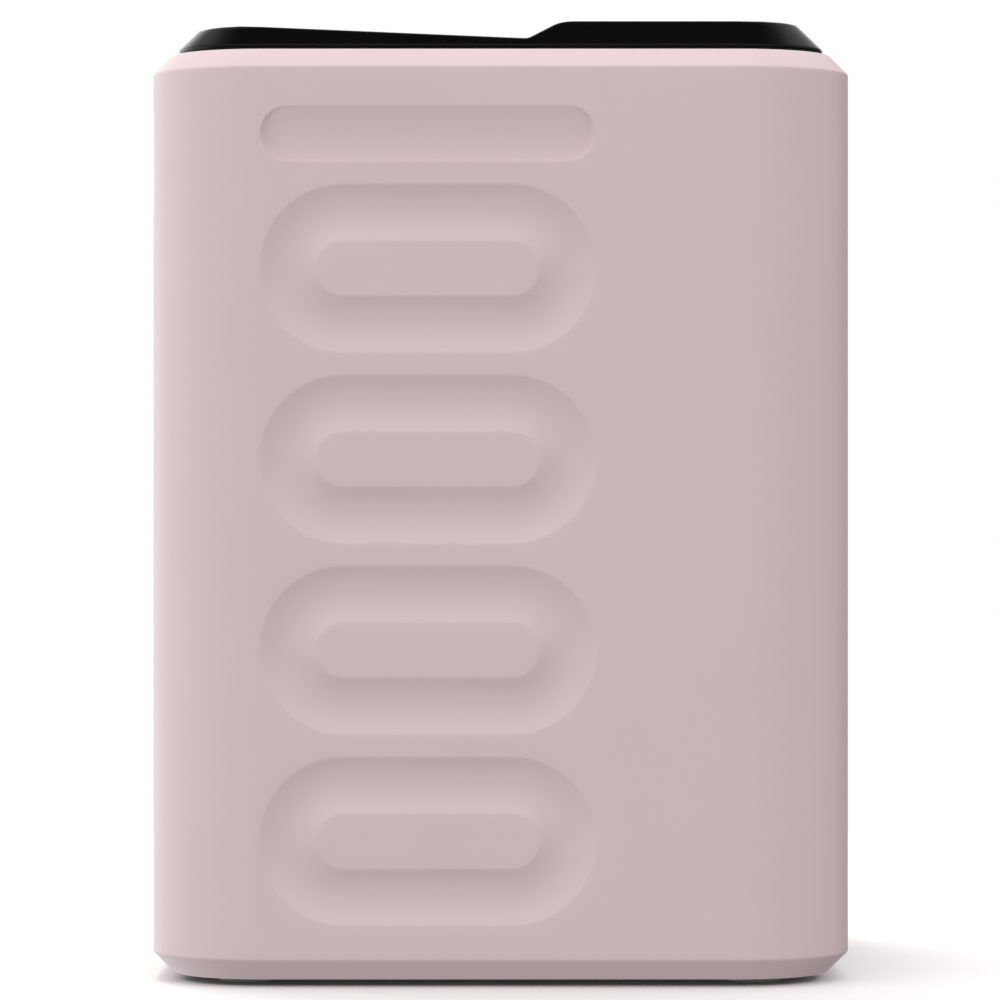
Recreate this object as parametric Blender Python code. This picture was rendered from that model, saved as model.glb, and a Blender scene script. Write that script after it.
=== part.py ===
"""Upright compressor ice cream maker, modelled as the pieces it comes apart into.

Metres, +Z up, front towards -Y. The origin is under the middle of the machine, on the
surface that it stands on. Run with: blender --background --python part.py
"""

import math

import bmesh
import bpy
from mathutils import Matrix, Vector
from mathutils.geometry import convex_hull_2d

# ---- Overall size
BODY_WIDTH = 0.236
BODY_DEPTH = 0.250
BODY_HEIGHT = 0.329
CORNER_RADIUS = 0.040
WALL = 0.003
GAP = 0.0004
REST_GAP = 0.0003

# ---- Feet and housing ends
FOOT_DROP = 0.0025
FOOT_RADIUS = 0.010
FOOT_INSET = 0.034
BOTTOM_CHAMFER = 0.0075
TOP_CHAMFER = 0.0068
BOTTOM_LIP = 0.0024
TOP_LIP = 0.0016
TOP_LEDGE_REACH = 0.0135
LOW_LEDGE_REACH = 0.0185
LEDGE_THICKNESS = 0.0025
BASE_THICKNESS = 0.0034
DECK_THICKNESS = 0.0025

# ---- Embossed side panels: capsule rings one unit wide, and a straight scoop above them
UNIT = 0.0197
RING_LENGTH = 0.1183
RING_GAP = 0.0081
RING_COUNT = 4
RING_DEPTH = 0.0025
SCOOP_DEPTH = 0.0024
SCOOP_SHIFT = 0.0030
SCOOP_DROP = 0.0206
RECESS_SETBACK = 0.00015

# ---- Front fascia and its controls
FASCIA_WIDTH = 0.175
FASCIA_LIFT = 0.00265
FASCIA_CORNER = 0.008
FASCIA_INSET = 0.0005
FLANGE_REACH = 0.004
FLANGE_THICKNESS = 0.002
LENS_LENGTH = 0.079
BUTTON_RADIUS = 0.0070
BUTTON_PROUD = 0.0
BUTTON_TRAVEL = 0.001
BUTTON_NAMES = ("power", "mode", "timer", "start")
BUTTON_PITCH = 0.0205

# ---- Rear panel
REAR_WIDTH = 0.144
REAR_BOTTOM = 0.018
REAR_DROP = 0.0255
REAR_CORNER = 0.012
SLOT_LENGTH = 0.090
SLOT_HEIGHT = 0.0045
SLOT_PITCH = 0.0100
FAN_SLOTS = 7
UPPER_SLOTS = 4
UPPER_SLOT_DROP = 0.1165

INLET_X = -0.035
ROCKER_X = 0.036
ENTRY_Z = 0.148
INLET_SIZE = (0.028, 0.022)
INLET_PROUD = -0.0002
ROCKER_SIZE = (0.0128, 0.0190)
ROCKER_PIVOT_DEPTH = 0.0074
BOARD_Y = 0.108
BOARD_LOW = 0.178
BOARD_HIGH = 0.270
REAR_SCREW_INSET = 0.008
SCREW_SEAT = 0.0026
SCREW_RADIUS = 0.0016
SCREW_HEAD_RADIUS = 0.0032
SCREW_HEAD = 0.0018

# ---- Lid
LID_INSET = 0.0091
LID_LIFT = 0.0005
LID_RIM = 0.0014
LID_WALL = 0.0025
PLATEAU_RISE = 0.0109
RIDGE_RISE = 0.0086
VALLEY_RISE = 0.0042
RIDGE_Y = -0.092
VALLEY_Y = 0.0082
STEP_SLOPE = 0.53
CAP_LENGTH = 0.060
CAP_WIDTH = 0.030
CAP_Y = -0.018
CAP_FLANGE = 0.0010
CAP_LEDGE = 0.0030
NOTCH_RADIUS = 0.012
HINGE_EDGE = 0.0016
HINGE_RISE = 0.0034
KNUCKLE_RADIUS = 0.0024
KNUCKLE_LENGTH = 0.016
EAR_LENGTH = 0.004
HINGE_X = 0.048
HINGE_PIN_RADIUS = 0.0011

# ---- Bowl, well and dasher, all on one upright axis
BOWL_Y = -0.018
BOWL_RADIUS = 0.066
BOWL_WALL = 0.0015
BOWL_DEPTH = 0.1184
BOWL_FLANGE = 0.0035
TUBE_RADIUS = 0.0090
TUBE_HEIGHT = 0.050
WELL_GAP = 0.0005
WELL_WALL = 0.0012
WELL_FLANGE = 0.0125
MOUTH_GAP = 0.002
COIL_RADIUS = 0.004
COIL_TURNS = 4
COIL_STEPS = 16
FOAM_WALL = 0.0131
FOAM_FLOOR = 0.0229
FOAM_HOLE = 0.0130
FOAM_SEGMENTS = 28
DASHER_GAP = 0.0020
BLADE_HEIGHT = 0.088
BLADE_THICKNESS = 0.0026

# ---- Drive
SHAFT_RADIUS = 0.005
SHAFT_CHAMFER = 0.001
RUNNING_GAP = 0.00005
GEAR_MODULE = 0.0015
OUTPUT_TEETH = 40
IDLER_TEETH = 30
PINION_TEETH = 10
GEAR_BACKLASH = 0.0004
IDLER_ANGLE = math.radians(35)
MOTOR_ANGLE = math.radians(-50)
GEARCASE_FLOOR = 0.0022
GEARCASE_WALL = 0.0025
COVER_THICKNESS = 0.0022
FOAM_CLEARANCE = 0.0020
UPPER_FACE = 0.007
LOWER_FACE = 0.006
GEAR_ROOM = 0.003
GEAR_SPACING = 0.002
IDLER_PIN_RADIUS = 0.0020
MOTOR_SHAFT_RADIUS = 0.0022
BUSH_RADIUS = 0.0075
SEAL_RADIUS = 0.0090
SQUARE_HALF = 0.0033
SQUARE_HEIGHT = 0.0095
MOTOR_RADIUS = 0.0275
MOTOR_LENGTH = 0.056
BRACKET_SHEET = 0.002
BRACKET_CLEARANCE = 0.001

# ---- Cooling circuit
COMPRESSOR_XY = (-0.038, -0.030)
COMPRESSOR_RADIUS = 0.052
COMPRESSOR_CLEARANCE = 0.010
COMPRESSOR_EARS = (math.radians(90), math.radians(210), math.radians(330))
GROMMET_HEIGHT = 0.0098
LINE_RADIUS = 0.003
CONDENSER_SIZE = (0.100, 0.022, 0.092)
CONDENSER_Y = 0.079
FAN_SIZE = 0.092
FAN_DEPTH = 0.022
FAN_Y = 0.104
FAN_Z = 0.062
FAN_BLADES = 7
FAN_CHORD = 0.018
FAN_PITCH = math.radians(45)

# ---- Heights and places that follow from the sizes above
BODY_BOTTOM = FOOT_DROP
BODY_TOP = BODY_BOTTOM + BODY_HEIGHT
BASE_TOP = BODY_BOTTOM + BASE_THICKNESS
BASE_INSET = BOTTOM_CHAMFER + BOTTOM_LIP + GAP
LOW_LEDGE = BASE_TOP + GAP
GROMMET_TOP = BASE_TOP + REST_GAP + GROMMET_HEIGHT
DECK_BOTTOM = BODY_TOP - DECK_THICKNESS
DECK_INSET = TOP_CHAMFER + TOP_LIP + GAP
HIGH_LEDGE = DECK_BOTTOM - GAP
FRONT_Y = -BODY_DEPTH / 2
REAR_Y = BODY_DEPTH / 2
RING_HEIGHT = 3 * UNIT
RING_PITCH = RING_HEIGHT + RING_GAP
RECESS_Y = FRONT_Y + CORNER_RADIUS + RECESS_SETBACK + RING_LENGTH / 2
SCOOP_Z = BODY_TOP - SCOOP_DROP - UNIT / 2
HIGHEST_RING_Z = SCOOP_Z - UNIT / 2 - RING_GAP - RING_HEIGHT / 2
FASCIA_HEIGHT = 2 * UNIT
FASCIA_Z = SCOOP_Z + UNIT / 2 + FASCIA_LIFT - FASCIA_HEIGHT / 2
LID_BOTTOM = BODY_TOP + LID_LIFT
HINGE_Y = REAR_Y - LID_INSET - HINGE_EDGE
HINGE_Z = BODY_TOP + HINGE_RISE
PANEL_BACK = WALL + GAP + FLANGE_THICKNESS
REAR_HEIGHT = BODY_TOP - REAR_DROP - REAR_BOTTOM
UPPER_SLOT_Z = BODY_TOP - UPPER_SLOT_DROP
FLANGE_TOP = DECK_BOTTOM - GAP
BOWL_TOP = FLANGE_TOP + REST_GAP + BOWL_WALL
BOWL_BOTTOM = BOWL_TOP - BOWL_DEPTH
TUBE_TOP = BOWL_BOTTOM + TUBE_HEIGHT
BLADE_TOP = BOWL_BOTTOM + BLADE_HEIGHT
SHAFT_TOP = TUBE_TOP + SQUARE_HEIGHT
WELL_RADIUS = BOWL_RADIUS + WELL_GAP
WELL_FLOOR = BOWL_BOTTOM - WELL_GAP
MOUTH_RADIUS = BOWL_RADIUS + BOWL_FLANGE + MOUTH_GAP
BOWL_AXIS = Vector((0, BOWL_Y, 0))
COIL_REACH = (WELL_RADIUS + WELL_WALL + COIL_RADIUS + GAP) / math.cos(math.pi / COIL_STEPS)
FOAM_BORE = (COIL_REACH + COIL_RADIUS + GAP) / math.cos(math.pi / FOAM_SEGMENTS)
FOAM_RADIUS = FOAM_BORE + FOAM_WALL
FOAM_BOTTOM = WELL_FLOOR - WELL_WALL - GAP - FOAM_FLOOR
GEARCASE_TOP = FOAM_BOTTOM - FOAM_CLEARANCE - COVER_THICKNESS - REST_GAP
UPPER_GEAR = (GEARCASE_TOP - GEAR_ROOM - UPPER_FACE, GEARCASE_TOP - GEAR_ROOM)
LOWER_GEAR = (UPPER_GEAR[0] - GEAR_SPACING - LOWER_FACE, UPPER_GEAR[0] - GEAR_SPACING)
GEARCASE_INSIDE = LOWER_GEAR[0] - GEAR_SPACING
GEARCASE_BOTTOM = GEARCASE_INSIDE - GEARCASE_FLOOR
BRACKET_TOP = GEARCASE_BOTTOM - REST_GAP
BRACKET_HALF_WIDTH = BODY_WIDTH / 2 - LOW_LEDGE_REACH - BRACKET_CLEARANCE
COMPRESSOR_TOP = BRACKET_TOP - BRACKET_SHEET - COMPRESSOR_CLEARANCE
OUTPUT_PITCH = GEAR_MODULE * OUTPUT_TEETH / 2
IDLER_PITCH = GEAR_MODULE * IDLER_TEETH / 2
PINION_PITCH = GEAR_MODULE * PINION_TEETH / 2
IDLER_WAY = Vector((math.cos(IDLER_ANGLE), math.sin(IDLER_ANGLE), 0))
IDLER_AXIS = BOWL_AXIS + IDLER_WAY * (OUTPUT_PITCH + PINION_PITCH)
MOTOR_WAY = Vector((math.cos(MOTOR_ANGLE), math.sin(MOTOR_ANGLE), 0))
MOTOR_AXIS = IDLER_AXIS + MOTOR_WAY * (IDLER_PITCH + PINION_PITCH)
SLIVER = 0.001
LID_CEILING = BODY_TOP + 0.02
GASKET_TOP = BODY_TOP + 0.0013


# ---------------------------------------------------------------- materials
def finish(name, colour, roughness, metallic=0.0):
    """One plain surface finish, made once and shared."""
    found = bpy.data.materials.get(name)
    if found:
        return found
    made = bpy.data.materials.new(name)
    made.use_nodes = True
    shader = made.node_tree.nodes["Principled BSDF"]
    shader.inputs["Base Color"].default_value = (*colour, 1)
    shader.inputs["Roughness"].default_value = roughness
    shader.inputs["Metallic"].default_value = metallic
    return made


def pink():
    return finish("pink_gloss_abs", (0.62, 0.47, 0.48), 0.3)


def black():
    return finish("black_gloss_acrylic", (0.005, 0.005, 0.005), 0.08)


def dark():
    return finish("dark_matt_pp", (0.03, 0.03, 0.032), 0.55)


def rubber():
    return finish("grey_silicone", (0.2, 0.2, 0.21), 0.7)


def steel():
    return finish("zinc_plated_steel", (0.55, 0.56, 0.58), 0.35, 1.0)


def aluminium():
    return finish("spun_aluminium", (0.75, 0.76, 0.78), 0.3, 1.0)


def copper():
    return finish("copper_tube", (0.72, 0.35, 0.2), 0.3, 1.0)


def bronze():
    return finish("sintered_bronze", (0.5, 0.35, 0.16), 0.4, 1.0)


def enamel():
    return finish("black_enamel", (0.02, 0.02, 0.022), 0.4)


def acetal():
    return finish("natural_acetal", (0.8, 0.79, 0.74), 0.45)


def laminate():
    return finish("green_laminate", (0.03, 0.16, 0.07), 0.5)


def foam():
    return finish("white_foam", (0.85, 0.85, 0.83), 0.9)


# ---------------------------------------------------------------- objects and mesh tools
def new_object(name, mesh_tool, material, origin=(0, 0, 0)):
    """Puts a bmesh built in world coordinates into a named object whose origin is at origin."""
    bmesh.ops.recalc_face_normals(mesh_tool, faces=mesh_tool.faces)
    mesh = bpy.data.meshes.new(name)
    bmesh.ops.translate(mesh_tool, verts=mesh_tool.verts, vec=-Vector(origin))
    mesh_tool.to_mesh(mesh)
    mesh_tool.free()
    mesh.shade_smooth()
    mesh.set_sharp_from_angle(angle=math.radians(35))
    mesh.materials.append(material)
    made = bpy.data.objects.new(name, mesh)
    made.location = origin
    bpy.context.scene.collection.objects.link(made)
    return made


def combine(target, other, operation):
    """Adds a Boolean to target. The other object stays in the file as a hidden helper."""
    other.hide_render = True
    other.display_type = "WIRE"
    step = target.modifiers.new(operation.title(), "BOOLEAN")
    step.operation = operation
    step.object = other
    step.solver = "EXACT"
    return target


def cut(target, shape):
    return combine(target, new_object(target.name + "_cut", shape, target.data.materials[0]), "DIFFERENCE")


def add(target, shape):
    return combine(target, new_object(target.name + "_add", shape, target.data.materials[0]), "UNION")


def keep(target, shape):
    return combine(target, new_object(target.name + "_keep", shape, target.data.materials[0]), "INTERSECT")


def loft(loops, ring=False):
    """A closed solid through loops of equally many points. A ring joins its last loop to its first."""
    shape = bmesh.new()
    rows = [[shape.verts.new(point) for point in loop] for loop in loops]
    count = len(rows[0])
    pairs = list(zip(rows, rows[1:] + rows[:1])) if ring else list(zip(rows, rows[1:]))
    for low, high in pairs:
        for i in range(count):
            j = (i + 1) % count
            shape.faces.new((low[i], low[j], high[j], high[i]))
    if not ring:
        shape.faces.new(rows[0])
        shape.faces.new(rows[-1])
    return shape


def oriented(u, v, w, axis):
    """The point with outline coordinates u, v at w along the axis that the outline is extruded along."""
    return {"Z": (u, v, w), "Y": (u, w, v), "X": (w, u, v)}[axis]


def prism(outline, low, high, axis="Z"):
    return loft([[oriented(u, v, w, axis) for u, v in outline] for w in (low, high)])


def box(low, high):
    (x0, y0, z0), (x1, y1, z1) = low, high
    return prism([(x0, y0), (x1, y0), (x1, y1), (x0, y1)], z0, z1)


def merged(shapes):
    """Several shapes in one bmesh, for a Boolean that takes them all. They must not overlap."""
    whole = bmesh.new()
    for shape in shapes:
        mesh = bpy.data.meshes.new("merging")
        bmesh.ops.recalc_face_normals(shape, faces=shape.faces)
        shape.to_mesh(mesh)
        shape.free()
        whole.from_mesh(mesh)
        bpy.data.meshes.remove(mesh)
    return whole


def turned(profile, segments, centre=(0, 0, 0), axis="Z"):
    """Spins (radius, height) points about an axis through centre. Points at radius 0 close the ends."""
    open_ended = profile[0][0] == 0
    shape = bmesh.new()
    points = [shape.verts.new((radius, 0, height)) for radius, height in profile]
    edges = [shape.edges.new(pair) for pair in zip(points, points[1:])]
    if not open_ended:
        edges.append(shape.edges.new((points[-1], points[0])))
    bmesh.ops.spin(
        shape, geom=points + edges, cent=(0, 0, 0), axis=(0, 0, 1),
        angle=2 * math.pi, steps=segments, use_merge=True,
    )
    bmesh.ops.remove_doubles(shape, verts=shape.verts, dist=1e-6)
    turn = {
        "Z": Matrix(),
        "Y": Matrix.Rotation(-math.pi / 2, 4, "X"),
        "X": Matrix.Rotation(math.pi / 2, 4, "Y"),
    }
    bmesh.ops.transform(shape, verts=shape.verts, matrix=Matrix.Translation(centre) @ turn[axis])
    return shape


def cylinder(radius, low, high, centre=(0, 0), segments=20, axis="Z"):
    """A solid cylinder between two heights along its axis. centre is the other two coordinates."""
    return prism(circle(radius, segments, centre), low, high, axis)


def tube_ring(inner, outer, low, high, centre=(0, 0), segments=24):
    """A plain ring about the upright through centre."""
    return turned([(inner, low), (outer, low), (outer, high), (inner, high)], segments, (*centre, 0))


def running_bore(radius, segments):
    """The corner radius of a many-sided hole whose flats clear a shaft by the running gap."""
    return (radius + RUNNING_GAP) / math.cos(math.pi / segments)


def circle(radius, segments, centre=(0, 0)):
    turn = 2 * math.pi / segments
    x, y = centre
    return [(x + radius * math.cos(i * turn), y + radius * math.sin(i * turn)) for i in range(segments)]


def rounded_rectangle(width, height, radius, segments=5, centre=(0, 0)):
    """Corner arcs joined by straight sides, anticlockwise from the right-hand side."""
    points = []
    for quarter, (sx, sy) in enumerate(((1, 1), (-1, 1), (-1, -1), (1, -1))):
        cx = centre[0] + sx * (width / 2 - radius)
        cy = centre[1] + sy * (height / 2 - radius)
        for i in range(segments + 1):
            angle = math.pi / 2 * (quarter + i / segments)
            points.append((cx + radius * math.cos(angle), cy + radius * math.sin(angle)))
    return points


def capsule(length, height, segments=10, centre=(0, 0)):
    """A straight slot shape with half-round ends."""
    points = []
    for side in (1, -1):
        for i in range(segments + 1):
            angle = math.pi * (i / segments - 0.5)
            x = side * ((length - height) / 2 + height / 2 * math.cos(angle))
            points.append((centre[0] + x, centre[1] + side * height / 2 * math.sin(angle)))
    return points


def body_outline(inset, segments=6):
    """The plan outline of the housing, moved inwards by inset."""
    return rounded_rectangle(
        BODY_WIDTH - 2 * inset, BODY_DEPTH - 2 * inset, max(CORNER_RADIUS - inset, 0.002), segments)


def body_band(section, ring=True, segments=6):
    """A solid whose wall section is a list of (inset, height) points all round the housing outline."""
    return loft([[(x, y, z) for x, y in body_outline(inset, segments)] for inset, z in section], ring)


def line_tube(name, points, radius, material, resolution=2, smooth=False):
    """A tube along points. With smooth, it follows a cardinal curve through them."""
    if smooth:
        points = rounded_route(points)
    curve = bpy.data.curves.new(name, "CURVE")
    curve.dimensions = "3D"
    curve.bevel_depth = radius
    curve.bevel_resolution = resolution
    curve.use_fill_caps = True
    run = curve.splines.new("POLY")
    run.points.add(len(points) - 1)
    for target, point in zip(run.points, points):
        target.co = (*point, 1)
    curve.materials.append(material)
    made = bpy.data.objects.new(name, curve)
    bpy.context.scene.collection.objects.link(made)
    return made


def rounded_route(points, steps=5):
    """Points on a Catmull-Rom curve through the route's own points."""
    ends = [points[0], *points, points[-1]]
    route = []
    for a, b, c, d in zip(ends, ends[1:], ends[2:], ends[3:]):
        a, b, c, d = (Vector(p) for p in (a, b, c, d))
        for i in range(steps):
            t = i / steps
            route.append(0.5 * (2 * b + (c - a) * t + (2 * a - 5 * b + 4 * c - d) * t * t
                                + (3 * b - a - 3 * c + d) * t ** 3))
    return route + [Vector(points[-1])]


# ---------------------------------------------------------------- embossing
def ring_sweep(section, centre_z, side, segments=7):
    """A section of (offset from the ring's middle line, depth into the wall) points, all round a capsule."""
    loops = []
    for offset, depth in section:
        height = 2 * UNIT + 2 * offset
        length = RING_LENGTH - UNIT + 2 * offset
        x = side * (BODY_WIDTH / 2 - depth)
        loops.append([(x, y, z) for y, z in capsule(length, height, segments, (RECESS_Y, centre_z))])
    return loft(loops, ring=True)


def arc_section(half_width, depth, steps=4):
    """Points of a round-bottomed channel, closed above the surface."""
    radius = (half_width ** 2 + depth ** 2) / (2 * depth)
    reach = math.asin(half_width / radius)
    points = []
    for i in range(steps + 1):
        angle = reach * (2 * i / steps - 1)
        points.append((radius * math.sin(angle), depth - radius * (1 - math.cos(angle))))
    return points


def groove_cutter(centre_z, side):
    arc = arc_section(UNIT / 2, RING_DEPTH)
    above = UNIT / 2 + SLIVER
    return ring_sweep([(-above, -SLIVER), *arc, (above, -SLIVER)], centre_z, side)


def groove_rib(centre_z, side):
    """The inner wall's bulge behind a groove, which keeps the moulding's thickness."""
    half = UNIT / 2
    return ring_sweep(
        [(-half, WALL - SLIVER), (-half, WALL), (-half / 2, WALL + RING_DEPTH), (half / 2, WALL + RING_DEPTH),
         (half, WALL), (half, WALL - SLIVER)], centre_z, side)


def scoop_loops(side, grow, segments=7):
    """Loops of the straight scoop, from the surface down. Its floor sits low, so its lower edge is steep."""
    loops = []
    for share, depth in ((-0.08, -SLIVER), (0.0, 0.0), (0.45, 0.7), (0.8, 1.0)):
        inset = share * UNIT / 2
        level = depth if depth < 0 else depth * SCOOP_DEPTH + grow
        low = max(share, 0) * SCOOP_SHIFT
        outline = capsule(
            RING_LENGTH - 2 * inset, UNIT - 2 * inset, segments, (RECESS_Y, SCOOP_Z - low))
        loops.append([(side * (BODY_WIDTH / 2 - level), y, z) for y, z in outline])
    return loops


def scoop_cutter(side):
    return loft(scoop_loops(side, 0.0))


def scoop_rib(side):
    """The inner wall's bulge behind the scoop."""
    return loft(scoop_loops(side, WALL)[1:])


def ring_heights():
    return [HIGHEST_RING_Z - i * RING_PITCH for i in range(RING_COUNT)]


# ---------------------------------------------------------------- housing
def fascia_outline(shrink):
    return rounded_rectangle(
        FASCIA_WIDTH - 2 * shrink, FASCIA_HEIGHT - 2 * shrink, FASCIA_CORNER - shrink, 4, (0, FASCIA_Z))


def rear_outline(shrink):
    return rounded_rectangle(
        REAR_WIDTH - 2 * shrink, REAR_HEIGHT - 2 * shrink, REAR_CORNER - shrink, 4,
        (0, REAR_BOTTOM + REAR_HEIGHT / 2))


def housing_shell():
    """One moulded sleeve: chamfered top and bottom, two inner ledges, embossed sides, two openings."""
    section = [
        (BOTTOM_CHAMFER, BODY_BOTTOM),
        (0, BODY_BOTTOM + BOTTOM_CHAMFER),
        (0, BODY_TOP - TOP_CHAMFER),
        (TOP_CHAMFER, BODY_TOP),
        (TOP_CHAMFER + TOP_LIP, BODY_TOP),
        (TOP_CHAMFER + TOP_LIP, HIGH_LEDGE),
        (TOP_LEDGE_REACH, HIGH_LEDGE),
        (TOP_LEDGE_REACH, HIGH_LEDGE - LEDGE_THICKNESS),
        (WALL, HIGH_LEDGE - LEDGE_THICKNESS),
        (WALL, LOW_LEDGE + LEDGE_THICKNESS),
        (LOW_LEDGE_REACH, LOW_LEDGE + LEDGE_THICKNESS),
        (LOW_LEDGE_REACH, LOW_LEDGE),
        (BOTTOM_CHAMFER + BOTTOM_LIP, LOW_LEDGE),
        (BOTTOM_CHAMFER + BOTTOM_LIP, BODY_BOTTOM),
    ]
    shell = new_object("housing_shell", body_band(section), pink())
    ribs = []
    cuts = []
    for side in (1, -1):
        ribs += [groove_rib(z, side) for z in ring_heights()] + [scoop_rib(side)]
        cuts += [groove_cutter(z, side) for z in ring_heights()] + [scoop_cutter(side)]
    add(shell, merged(ribs))
    cut(shell, merged(cuts))
    cut(shell, prism(fascia_outline(0), FRONT_Y - 0.01, FRONT_Y + 0.02, "Y"))
    cut(shell, prism(rear_outline(0), REAR_Y - 0.008, REAR_Y + 0.01, "Y"))
    screws = [
        cylinder(SCREW_RADIUS + GAP / 2, LOW_LEDGE - SLIVER, LOW_LEDGE + LEDGE_THICKNESS + SLIVER, at, 10)
        for at in base_screw_places()
    ]
    cut(shell, merged(screws))
    return shell


def base_screw_places():
    """The middle of each side's ledge, front, back, left and right."""
    x = BODY_WIDTH / 2 - (LOW_LEDGE_REACH + BASE_INSET) / 2
    y = BODY_DEPTH / 2 - (LOW_LEDGE_REACH + BASE_INSET) / 2
    return [(x, 0.04), (-x, 0.04), (0.045, -y), (-0.045, -y)]


def screw(name, at, head_z, length, up=1, axis="Z"):
    """A pan-head screw with a cross slot. head_z is the plane that its head bears on."""
    low = [(0, -SCREW_HEAD), (SCREW_HEAD_RADIUS * 0.6, -SCREW_HEAD), (SCREW_HEAD_RADIUS, -SCREW_HEAD * 0.45),
           (SCREW_HEAD_RADIUS, 0), (SCREW_RADIUS, 0), (SCREW_RADIUS, length * 0.9), (0, length)]
    centre = oriented(at[0], at[1], head_z, axis)
    profile = [(radius, up * height) for radius, height in low]
    new_object(name, turned(profile, 8, centre, axis), steel(), centre)


def base_plate():
    """Closes the bottom of the sleeve and carries everything inside."""
    plate = new_object("base_plate", prism(body_outline(BASE_INSET), BODY_BOTTOM, BASE_TOP), dark())
    slots = []
    for x in (-0.045, 0.045):
        for i in range(4):
            slots.append(prism(capsule(0.062, 0.005, 3, (x, 0.048 + i * 0.010)), 0, BASE_TOP + SLIVER))
    cut(plate, merged(slots))
    recesses = [cylinder(FOOT_RADIUS + GAP, 0, BODY_BOTTOM + 0.0012, at, 16) for at in foot_places()]
    cut(plate, merged(recesses))
    for at in base_screw_places():
        cut(plate, cylinder(SCREW_HEAD_RADIUS + GAP, 0, BODY_BOTTOM + SCREW_HEAD + GAP, at, 12))
        cut(plate, cylinder(SCREW_RADIUS + GAP, BODY_BOTTOM + SCREW_HEAD, BASE_TOP + SLIVER, at, 10))
    return plate


def foot_places():
    x = BODY_WIDTH / 2 - FOOT_INSET
    y = BODY_DEPTH / 2 - FOOT_INSET
    return [(-x, -y), (x, -y), (-x, y), (x, y)]


def feet():
    names = ("front_left", "front_right", "rear_left", "rear_right")
    for name, at in zip(names, foot_places()):
        top = BODY_BOTTOM + 0.0012 - GAP
        profile = [(0, 0), (FOOT_RADIUS - 0.001, 0), (FOOT_RADIUS, 0.001), (FOOT_RADIUS, top), (0, top)]
        new_object("foot_" + name, turned(profile, 14, (*at, 0)), rubber(), (*at, 0))


def deck():
    """The flat top under the lid, with the bowl's mouth and the hinge ears."""
    plate = new_object("deck", prism(body_outline(DECK_INSET), DECK_BOTTOM, BODY_TOP), pink())
    cut(plate, cylinder(MOUTH_RADIUS, DECK_BOTTOM - SLIVER, BODY_TOP + SLIVER, (0, BOWL_Y), 40))
    ears = []
    for x in ear_middles():
        outline = [(HINGE_Y - 0.0022, DECK_BOTTOM + SLIVER), (HINGE_Y + 0.0016, DECK_BOTTOM + SLIVER)]
        outline += [
            (HINGE_Y + KNUCKLE_RADIUS * 0.66 * math.cos(a), HINGE_Z + KNUCKLE_RADIUS * 0.92 * math.sin(a))
            for a in (0.3, 0.9, 1.571, 2.2)]
        outline += [(HINGE_Y - 0.0022, HINGE_Z)]
        ears.append(prism(outline, x - EAR_LENGTH / 2, x + EAR_LENGTH / 2, "X"))
    add(plate, merged(ears))
    holes = [
        cylinder(
            running_bore(HINGE_PIN_RADIUS, 10), x - EAR_LENGTH, x + EAR_LENGTH, (HINGE_Y, HINGE_Z), 10, "X")
        for x in ear_middles()
    ]
    cut(plate, merged(holes))
    return plate


def hinge_half():
    """Half the spacing of the two ears either side of a knuckle."""
    return (KNUCKLE_LENGTH + EAR_LENGTH) / 2 + GAP


def ear_middles():
    return [side * HINGE_X + way * hinge_half() for side in (1, -1) for way in (1, -1)]


# ---------------------------------------------------------------- lid
def lid_profile(drop):
    """(y, z) points along the lid's top, front to rear: ridge, long fall to the valley, step, plateau."""
    step_end = VALLEY_Y + (PLATEAU_RISE - VALLEY_RISE) / STEP_SLOPE
    reach = BODY_DEPTH / 2
    line = [
        (-reach, RIDGE_RISE - 0.0012),
        (RIDGE_Y - 0.010, RIDGE_RISE - 0.0001),
        (RIDGE_Y, RIDGE_RISE),
        (VALLEY_Y - 0.002, VALLEY_RISE + 0.00008),
        (VALLEY_Y, VALLEY_RISE),
        (VALLEY_Y + 0.002, VALLEY_RISE + 0.0006),
        (step_end - 0.004, PLATEAU_RISE - 0.0024),
        (step_end + 0.001, PLATEAU_RISE - 0.0005),
        (step_end + 0.006, PLATEAU_RISE),
        (reach, PLATEAU_RISE),
    ]
    return [(y, BODY_TOP + rise - drop) for y, rise in line]


def lid_envelope(name, offset, bottom):
    """The lid's outside, moved inwards by offset: a tapering plan outline cut off by the top profile."""
    rim_top = LID_BOTTOM + LID_RIM - offset * 0.4
    tall = 0.020
    inset = LID_INSET + offset
    section = [(inset, bottom), (inset, rim_top), (inset + tall, rim_top + tall)]
    body = new_object(name, body_band(section, ring=False), black())
    top = lid_profile(offset)
    outline = [(top[0][0], bottom - SLIVER), *top, (top[-1][0], bottom - SLIVER)]
    keep(body, prism(outline, -BODY_WIDTH / 2, BODY_WIDTH / 2, "X"))
    return body


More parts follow.
